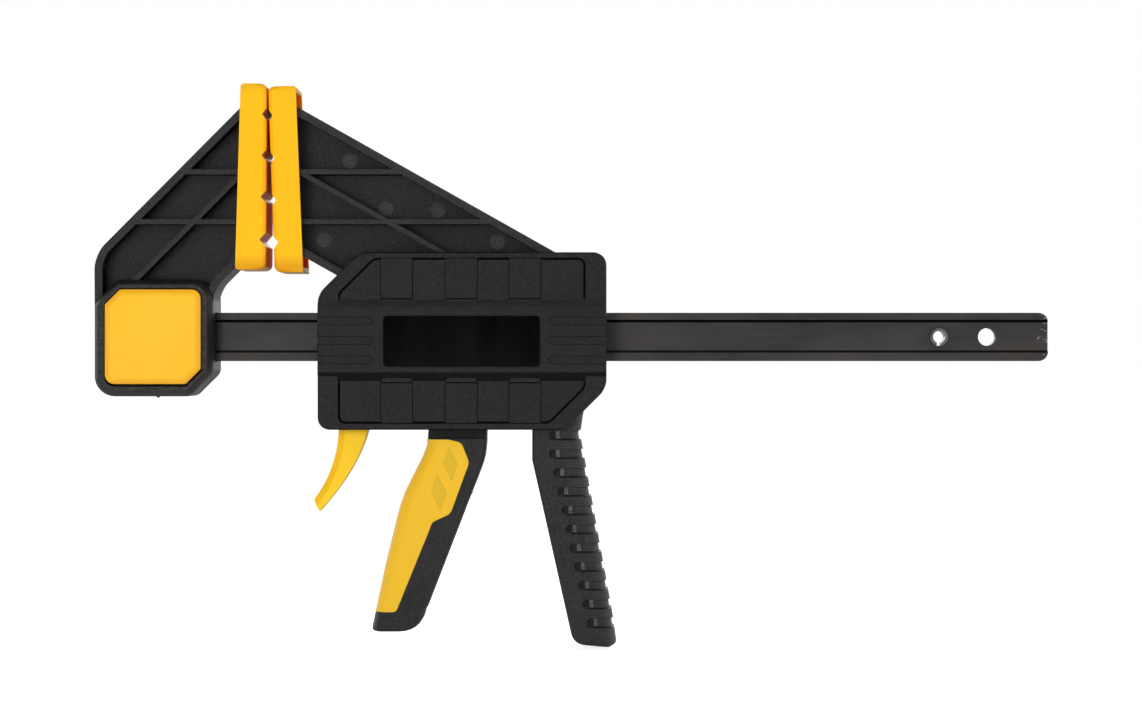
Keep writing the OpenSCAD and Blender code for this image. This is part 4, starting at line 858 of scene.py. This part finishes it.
def makeCover(name, s, side, node, plate=None):
    # side is -1 for the front cover and 1 for the rear one
    band, margin, panel, groove, gap = s["band"], s["margin"], s["panel"], s["groove"], s["line"]
    top, foot = s["bandTop"], s["bandFoot"]

    def slab(x0, x1, z0, z1, back, front):
        y0, y1 = sorted((side * back, side * front))
        return box("slab", (x0, y0, z0), (x1, y1, z1))

    def rimEdge(at, part):
        leans = sorted(abs(face.normal.y) for face in part.link_faces)
        return len(leans) == 2 and leans[0] < 0.05 and leans[1] > 0.5 and at.y * side > margin - 0.1
    piece = outlinePlate(name, coverOutline(s), side * s["inner"], side * margin, segments=7)
    editOn(piece)
    for z in (top + s["slope"], top, foot, foot - s["slopeFoot"]):
        pick(piece, lambda at, part: part.normal.y * side > 0.99)
        split((0, 0, z), (0, 0, 1))
    shiftPoints(piece, lambda at, part: abs(at.y - side * margin) < touch
                and min(abs(at.z - top), abs(at.z - foot)) < touch, (0, side * (band - margin), 0))
    bevelEdges(piece, rimEdge, s["edge"])
    editOff()
    for upper in (True, False):
        carve(piece, panelTool(s, upper, side))
        # the panel's floor stands a little above the groove round it
        carve(piece, outlinePlate("floor", panelOutline(s, upper, s["grooveW"]), side * (groove - 1.5), side * panel),
              "UNION")
    raised, lines = [], []
    rise, low, clear = panel + s["blockRise"], groove + 0.1, panel + s["blockRise"] + 3
    for x0 in s["blocks"]:
        x1 = x0 + s["blockW"]
        for block, ledge, beside, outside, between in s["blockRows"]:
            raised += [slab(x0, x1, *block, panel - 1, rise), slab(x0 + 0.5, x1 - 0.5, *ledge, panel - 1, rise + 0.15)]
            lines += [slab(x0 - gap, x0 - 0.001, *beside, low, clear), slab(x1 + 0.001, x1 + gap, *beside, low, clear),
                      slab(x0 - gap, x1 + gap, *outside, low, clear), slab(x0 - gap, x1 + gap, *between, groove, clear)]
    carve(piece, join(*raised), "UNION")
    carve(piece, join(*lines))
    carve(piece, join(*[slotTool(s, z, x0, x1, side) for z in s["slotZ"] for x0, x1 in
                        ((s["x0"] - 8, s["slotEnds"][0]), (s["slotEnds"][1], s["x1"] + 8))]))
    if plate:
        carve(piece, outlinePlate("plateSeat", plateOutline(plate, plate["gap"]), side * (band - 0.8),
                                  side * (band + 2)))
    else:
        carve(piece, join(*[rod("sink", x, z, s["screwR"], panel - 3, band + 2, 36) for x, z in s["screws"]]))
    soften(piece, 0.22, 2, 28)
    finishPiece(piece, "nylon nylonGroove nylonLine nylonDeep", "sliding_jaw", "black_nylon", node)

    def inGroove(at, way):
        # painted shade on the floors of the grooves, the walls of the slots and of the plate's seat, and the outer edge
        # above and below
        y = abs(at.y)
        inside = s["x0"] + 2 < at.x < s["x1"] - 2 and s["z0"] + 2 < at.z < s["z1"] - 2
        floor = groove - 0.05 < y < panel - 0.03
        wall = band - 0.78 < y < band - 0.06 and abs(way.y) < 0.6 and foot < at.z < top
        edge = margin - 0.9 < y < margin - 0.05 and abs(way.z) > 0.6 and abs(way.x) < 0.2
        return (floor or wall) if inside else edge
    markPlaces(piece, inGroove)
    # painted shade on the slope under the band, the one above it, and the leaning walls of the slots
    markPlaces(piece, lambda at, way: way.z < -0.25 and foot - 5 < at.z < foot - 0.05 and abs(at.y) > groove + 0.05, 2)
    markPlaces(piece, lambda at, way: way.z > 0.2 and top + 0.1 < at.z < top + 3.5 and abs(at.y) > groove + 0.1, 3)
    markPlaces(piece, lambda at, way: band - 0.68 < abs(at.y) < band - 0.02 and 0.2 < abs(way.y) < 0.95
               and s["slotZ"][0] - 3 < at.z < s["slotZ"][2] + 3
               and not s["slotEnds"][0] + 3 < at.x < s["slotEnds"][1] - 3, 2)


def makePlate(p):
    piece = outlinePlate("labelPlate", plateOutline(p), p["front"], p["back"], segments=6)
    editOn(piece)
    bevelEdges(piece, atY(p["front"]), 0.25)
    editOff()
    finishPiece(piece, "labelGloss", "sliding_jaw", "plate_gloss", "nameplate")


makeCover("frontCover", coverSizes, -1, "front_cover", plateSizes)
makeCover("rearCover", coverSizes, 1, "rear_cover")
makePlate(plateSizes)
print("housing made")

# Fixed grip: deep back rounding, eleven grooves sunk to an inner body, each with a pit at its blind end

gripSizes = {"half": 13, "frontRound": 2.5, "backRound": 6.5, "footR": 6.5, "grooves": 11, "pitch": 8.65,
             "first": -45.3, "start": 128.3, "lean": 1.18 * 19 / 100.4, "grooveH": 4.4, "depth": 1.2, "rimDepth": 0.85,
             "pit": 3.3, "ramp": 1.7, "pitDepth": 1.75, "heights": (-30, -44.7, -56.76, -72, -90, -108, -126.7, -133),
             "left": [(120.6, -30), (120.6, -56.76), (139.6, -141.5)], "foot": (139.6, -141.5, 157.8, -143.1),
             "right": [(145.1, -30), (142.8, -44.7), (157.6, -126.7), (159.3, -138.6), (159.5, -140.3), (159.1, -141.4),
                       (158.2, -142.15), (151.6, -146)]}


def alongLine(points, z):
    # where a line of (x, z) points crosses a height
    for (xa, za), (xb, zb) in zip(points, points[1:]):
        if zb <= z <= za:
            return xa + (xb - xa) * (z - za) / (zb - za)
    return points[-1][0] if z < points[-1][1] else points[0][0]


def footArc(points, foot, radius, side, count=6):
    # rows down an arc that joins a long side to the foot; side is -1 at the left and 1 at the right
    (xa, za), (xb, zb) = points[-2:]
    long = Vector((xb - xa, zb - za)).normalized()
    centreZ = foot + radius
    centreX = alongLine(points, centreZ) - side * radius * abs(1 / long.y)
    start = math.atan2(long.x, -long.y)
    turns = [start + (math.pi / 2 - start) * k / count for k in range(count + 1)]
    return [(centreZ - radius * math.sin(a), centreX + side * radius * math.cos(a)) for a in turns]


def gripBody(name, s, inset, segments):
    leftSide = [(x + inset, z) for x, z in s["left"]]
    rightSide = [(x - inset * s["rimDepth"] / s["depth"], z) for x, z in s["right"]]
    rows = [(z, alongLine(leftSide, z), alongLine(rightSide, z)) for z in s["heights"]]
    rows += [(z, x, alongLine(rightSide, z)) for z, x in footArc(leftSide, s["foot"][1] - 0.6 + inset, s["footR"], -1)]
    rows.append((-146, rows[-1][1], alongLine(rightSide, -146)))
    piece = loft(name, rows, s["half"] - inset, max(s["frontRound"] - inset, 0.5), s["backRound"], segments)
    xa, za, xb, zb = s["foot"]
    editOn(piece)
    bpy.ops.mesh.select_all(action="SELECT")
    split((xa, 0, za + inset), Vector((zb - za, 0, xa - xb)).normalized(), use_fill=True, clear_outer=True)
    tidyNormals()
    editOff()
    return piece


def pitTool(s, x, z, side):
    # deep at its rounded end, then a short ramp up to the groove's floor
    deep, flat, h = s["half"] - s["pitDepth"], s["half"] - s["depth"], s["grooveH"] / 2 - 0.25
    step, end = x + s["pit"], x + s["pit"] + s["ramp"]
    tool = outlinePlate("pit", [(x + 0.25, z - h + 0.45, h - 0.3), (end, z - h + 0.45), (end, z + h),
                                (x + 0.25, z + h, h - 0.3)], side * deep, side * 14, segments=5)
    editOn(tool)
    bpy.ops.mesh.select_all(action="SELECT")
    split((step, 0, 0), (1, 0, 0))
    shiftPoints(tool, lambda at, part: abs(at.y - side * deep) < touch and at.x > end - 0.1,
                (0, side * (flat - deep), 0))
    editOff()
    return tool


def makeGrip(s):
    half, pitch, r = s["half"], s["pitch"], s["grooveH"] / 2
    piece = gripBody("fixedGrip", s, 0, 7)
    soften(piece, 1.0, 3, 50)
    inner = gripBody("gripCore", s, s["depth"], 4)

    def grooveStart(steps):
        return s["start"] + max(0, steps - 1) * pitch * s["lean"]
    for i in range(s["grooves"]):
        x, z = grooveStart(i), s["first"] - i * pitch
        tool = outlinePlate("groove", [(x, z - r, r - 0.01), (200, z - r), (200, z + r), (x, z + r, r - 0.01)], -20, 20,
                            segments=6)
        carve(tool, inner, keep=True)
        carve(piece, tool)
        for side in (-1, 1):
            carve(piece, pitTool(s, x, z, side))
    bpy.data.objects.remove(inner)
    soften(piece, 0.32, 2, 40)
    finishPiece(piece, "nylonGrip nylonFacet nylonGroove nylonLine nylonDeep", "sliding_jaw", "black_nylon",
                "moving_jaw")

    def inPit(at, way):
        ahead = at.x - grooveStart((s["first"] - at.z) / pitch)
        return (half - s["pitDepth"] - 0.05 < abs(at.y) < half - s["depth"] - 0.03
                and -1 < ahead < s["pit"] + s["ramp"] + 0.4)

    def onRamp(way):
        return way.x < -0.2 and abs(way.y) > 0.8

    def onRib(at):
        # edges where a groove ends at the rib below it, and at the rib above it
        return half - s["depth"] + 0.05 < abs(at.y) < half - 0.01 and -138 < at.z < -43 and at.x > 126
    # painted highlight on the ramp of each pit
    markPlaces(piece, lambda at, way: inPit(at, way) and onRamp(way))
    # painted shade on the rest of each pit
    markPlaces(piece, lambda at, way: inPit(at, way) and not onRamp(way), 4)
    # painted shade on the rib edges where each groove ends
    markPlaces(piece, lambda at, way: onRib(at) and way.z > 0.3, 2)
    markPlaces(piece, lambda at, way: onRib(at) and way.z < -0.3, 3)


makeGrip(gripSizes)
print("fixed grip made")

# Trigger handle: black core and yellow skin from one lofted body; rows are (z, left, right)

handleSizes = {"half": 11.5, "fingerRound": 8, "palmRound": 4, "footR": 10.7, "foot": -136.0, "toeR": 1.8, "seam": 0.12,
               "rows": [(-46.9, 72.0, 99.6), (-49.8, 71.9, 99.4), (-54.5, 70.2, 98.9), (-58, 68.5, 98.0),
                        (-64, 65.4, 95.8), (-71.7, 61.6, 92.8), (-77.9, 59.4, 90.3), (-84, 57.8, 88.0),
                        (-104.8, 52.7, 79.9), (-125, 48.4, 72.1)],
               "skin": [(30.4, -45.118, 0), (30.4, -126.9118, 0), (57.8365, -126.9118, 2.2),
                        (73.0972, -89.4898, 3), (74.4895, -85.4803, 3), (83.0071, -81.5599, 4),
                        (91.6066, -57.9484, 3), (88.003, -48.72655, 3), (81.997, -47.3455, 2),
                        (68.62, -47.3455, 0)],
               "rhombi": [[(82.4, -50.45), (86.6, -58.5), (83.6, -66.6), (79.45, -58.2)],
                          [(76.9, -63.2), (81.6, -71.9), (78.35, -80.3), (74.15, -71.0)]],
               "nubs": ((92.6, -72.4), (79.7, -105.2)), "gate": (80.5, -48.6)}


def handleBody(name, s, grow=0):
    rows = [(z, left - grow, right + grow) for z, left, right in s["rows"]]
    rightSide = [(right, z) for z, left, right in rows]
    rightSide.append((rightSide[-1][0] - 4.2, s["foot"]))
    (za, xa, _), (zb, xb, _) = rows[-2:]
    for z, x in footArc(rightSide, s["foot"], s["footR"], 1, 9):
        if z < rows[-1][0] - 0.2:
            low = max(s["foot"] + s["toeR"] - z, 0)
            thin = max(s["toeR"] - math.sqrt(max(s["toeR"] ** 2 - low ** 2, 0.09)), 0)
            rows.append((z, xb + (xb - xa) * (z - zb) / (zb - za) + thin, x, thin))
    return loft(name, rows, s["half"] + grow, s["fingerRound"], s["palmRound"], 8)


def makeHandle(s):
    skin, half = s["skin"], s["half"]
    black = handleBody("handleCore", s)
    carve(black, outlinePlate("skinSpace", [(x + s["seam"] if x > 60 else x, z, r) for x, z, r in skin], -20, 20))
    soften(black, 0.3, 2, 40)
    # the seam's little nubs on the palm side
    join(black, *[rod("nub", x - 0.35, z, 0.6, -0.7, 0.7, 14) for x, z in s["nubs"]])
    finishPiece(black, "nylonHandle", "trigger", "black_nylon", "trigger_grip")
    yellow = handleBody("handleSkin", s, s["seam"])
    carve(yellow, outlinePlate("skinZone", skin, -20, 20), "INTERSECT")
    for corners in s["rhombi"]:
        for side in (-1, 1):
            carve(yellow, outlinePlate("rhombus", corners, side * (half - 0.25), side * (half + 2)))
    soften(yellow, 0.25, 2, 40)
    join(yellow, rod("gate", *s["gate"], 1.0, -half - 0.35, -half + 1, 14))
    finishPiece(yellow, "softSkin softHatch", "trigger", "yellow_soft", "trigger_overmould")
    markPlaces(yellow, lambda at, way: abs(abs(at.y) - half + 0.25) < 0.04 and abs(way.y) > 0.99)


makeHandle(handleSizes)

# Release lever: curved blade with a broad chamfer on its finger side

leverSizes = {"x": 39.5, "z": 17, "half": 6, "top": -20.35, "chamfer": 3.2,
              "right": ((5.1, -59.98), (0.5, -78.0), (-17.4, -98.0)),
              "left": ((-20.4, -92.5), (-9.49, -78.0), (-8.8, -59.98))}


def makeLever(s):
    leftSide, rightSide = ([(s["x"] + x, s["z"] + z) for x, z in bend(*s[side], 8)][::-1] for side in ("left", "right"))
    finger = [(s["x"] - 9, s["top"])] + leftSide
    corners = finger + rightSide + [(s["x"] + 6, s["top"])]
    piece = outlinePlate("releaseBlade", corners, -s["half"], s["half"], segments=3)

    def onFinger(point):
        return abs(point.x - alongLine(finger, point.z)) < 1e-2 and point.z > finger[-1][1] - 1e-2
    editOn(piece)
    bevelEdges(piece, lambda at, part: abs(abs(at.y) - s["half"]) < touch and all(onFinger(v.co) for v in part.verts)
               and abs(part.verts[0].co.z - part.verts[1].co.z) > 0.1, s["chamfer"], 1)
    # painted shade: the chamfer takes the deeper orange copy
    mark(piece, 1)
    editOff()
    soften(piece, 0.45, 3, 30)
    finishPiece(piece, "lever leverEdge", "release", "yellow_plastic", "release_lever")


makeLever(leverSizes)
print("trigger and release lever made")

# Nodes whose own shape is right get their finish

nodeLooks = {"screwSteel": ("back_screw_1", "back_screw_2", "cover_screw_1", "cover_screw_2", "cover_screw_3",
                            "cover_screw_4"),
             "plateSteel": ("latch_plate", "latch_pin", "trigger_pin", "drive_plate_1", "drive_plate_2", "brake_plate"),
             "springSteel": ("latch_spring", "drive_spring", "brake_spring"),
             "nylonDeep": ("trigger_lever",)}
for look, nodes in nodeLooks.items():
    for node in nodes:
        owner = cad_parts[node]
        owner.data.materials.clear()
        owner.data.materials.append(looks[look])
print("carried nodes finished")

# Stage: pale floor, soft lamps, camera square to the front

stageSizes = {"floor": -0.1445, "glow": 0.8, "lens": 84.74, "camera": (0.13852, -1.25, -0.01046),
              "target": (0.13, 0, 0)}
# what gloss sees from the front round to the back: a dark gap at the lens, soft boxes, dim room, white sweep
studioSizes = {"plain": 0.32, "rings": [(0.0, 0.02), (0.012, 0.03), (0.035, 0.5), (0.13, 0.5), (0.22, 0.10),
                                        (0.55, 0.10), (0.70, 1.6)]}


def makeStage(s):
    deselect()
    bpy.ops.mesh.primitive_plane_add(size=30, location=(0.14, 0, s["floor"]))
    floor = bpy.context.active_object
    floor.name = "paleFloor"
    w = newLook("floorWhite")
    w.finish(w.blend(w.noise(2, 2), (0.86, 0.86, 0.86), (0.88, 0.88, 0.88)), 0.9, Specular_IOR_Level=0.1)
    glow = w.add("ShaderNodeEmission", {"Color": (1, 1, 1, 1)})
    w.feed(glow.inputs["Strength"], w.times(w.add("ShaderNodeLightPath").outputs["Is Camera Ray"], s["glow"]))
    both = w.add("ShaderNodeAddShader")
    w.feed(both.inputs[0], w.shader.outputs[0])
    w.feed(both.inputs[1], glow.outputs[0])
    w.feed(w.tree.nodes["Material Output"].inputs["Surface"], both.outputs[0])
    floor.data.materials.append(w.owner)


def addLamp(name, place, size, power, shine=False):
    deselect()
    bpy.ops.object.light_add(type="AREA", location=place)
    lamp = bpy.context.active_object
    lamp.name = name
    lamp.data.shape = "RECTANGLE"
    lamp.data.size, lamp.data.size_y = size
    lamp.data.energy = power
    lamp.rotation_euler = (Vector(stageSizes["target"]) - Vector(place)).to_track_quat("-Z", "Y").to_euler()
    lamp.visible_glossy = shine


def makeWorld(s):
    world = bpy.data.worlds.new("studio")
    bpy.context.scene.world = world
    w = Wiring(world)
    path = w.add("ShaderNodeLightPath").outputs
    rings = w.add("ShaderNodeValToRGB")
    stops = rings.color_ramp.elements
    while len(stops) < len(s["rings"]):
        stops.new(0.5)
    for stop, (place, level) in zip(stops, s["rings"]):
        stop.position = place
        stop.color = (level, level, level, 1)
    w.feed(rings.inputs["Fac"], w.ramp(w.axes(w.coords["Generated"])["Y"], -1, 1))
    shiny = w.blend(path["Is Glossy Ray"], s["plain"], rings.outputs["Color"], "FLOAT")
    seen = w.sum(path["Is Camera Ray"], path["Is Transmission Ray"], "MAXIMUM")
    back = w.tree.nodes["Background"].inputs
    back["Color"].default_value = (1, 1, 1, 1)
    w.feed(back["Strength"], w.blend(seen, shiny, 1.0, "FLOAT"))


makeStage(stageSizes)
makeWorld(studioSizes)
addLamp("keyLamp", (-0.45, -1.6, 0.11), (0.55, 0.5), 17.9)
addLamp("sideLamp", (1.5, -0.25, 0.1), (0.8, 0.8), 7, True)
addLamp("backLamp", (0.3, 1.3, 1.2), (1.2, 0.8), 9, True)

deselect()
bpy.ops.object.camera_add(location=stageSizes["camera"], rotation=(math.pi / 2, 0, 0))
camera = bpy.context.active_object
camera.data.lens = stageSizes["lens"]
camera.data.sensor_width = 36
camera.data.sensor_fit = "HORIZONTAL"
camera.data.clip_end = 50
bpy.context.scene.camera = camera
bpy.context.scene.view_settings.view_transform = "Standard"
print("stage ready")
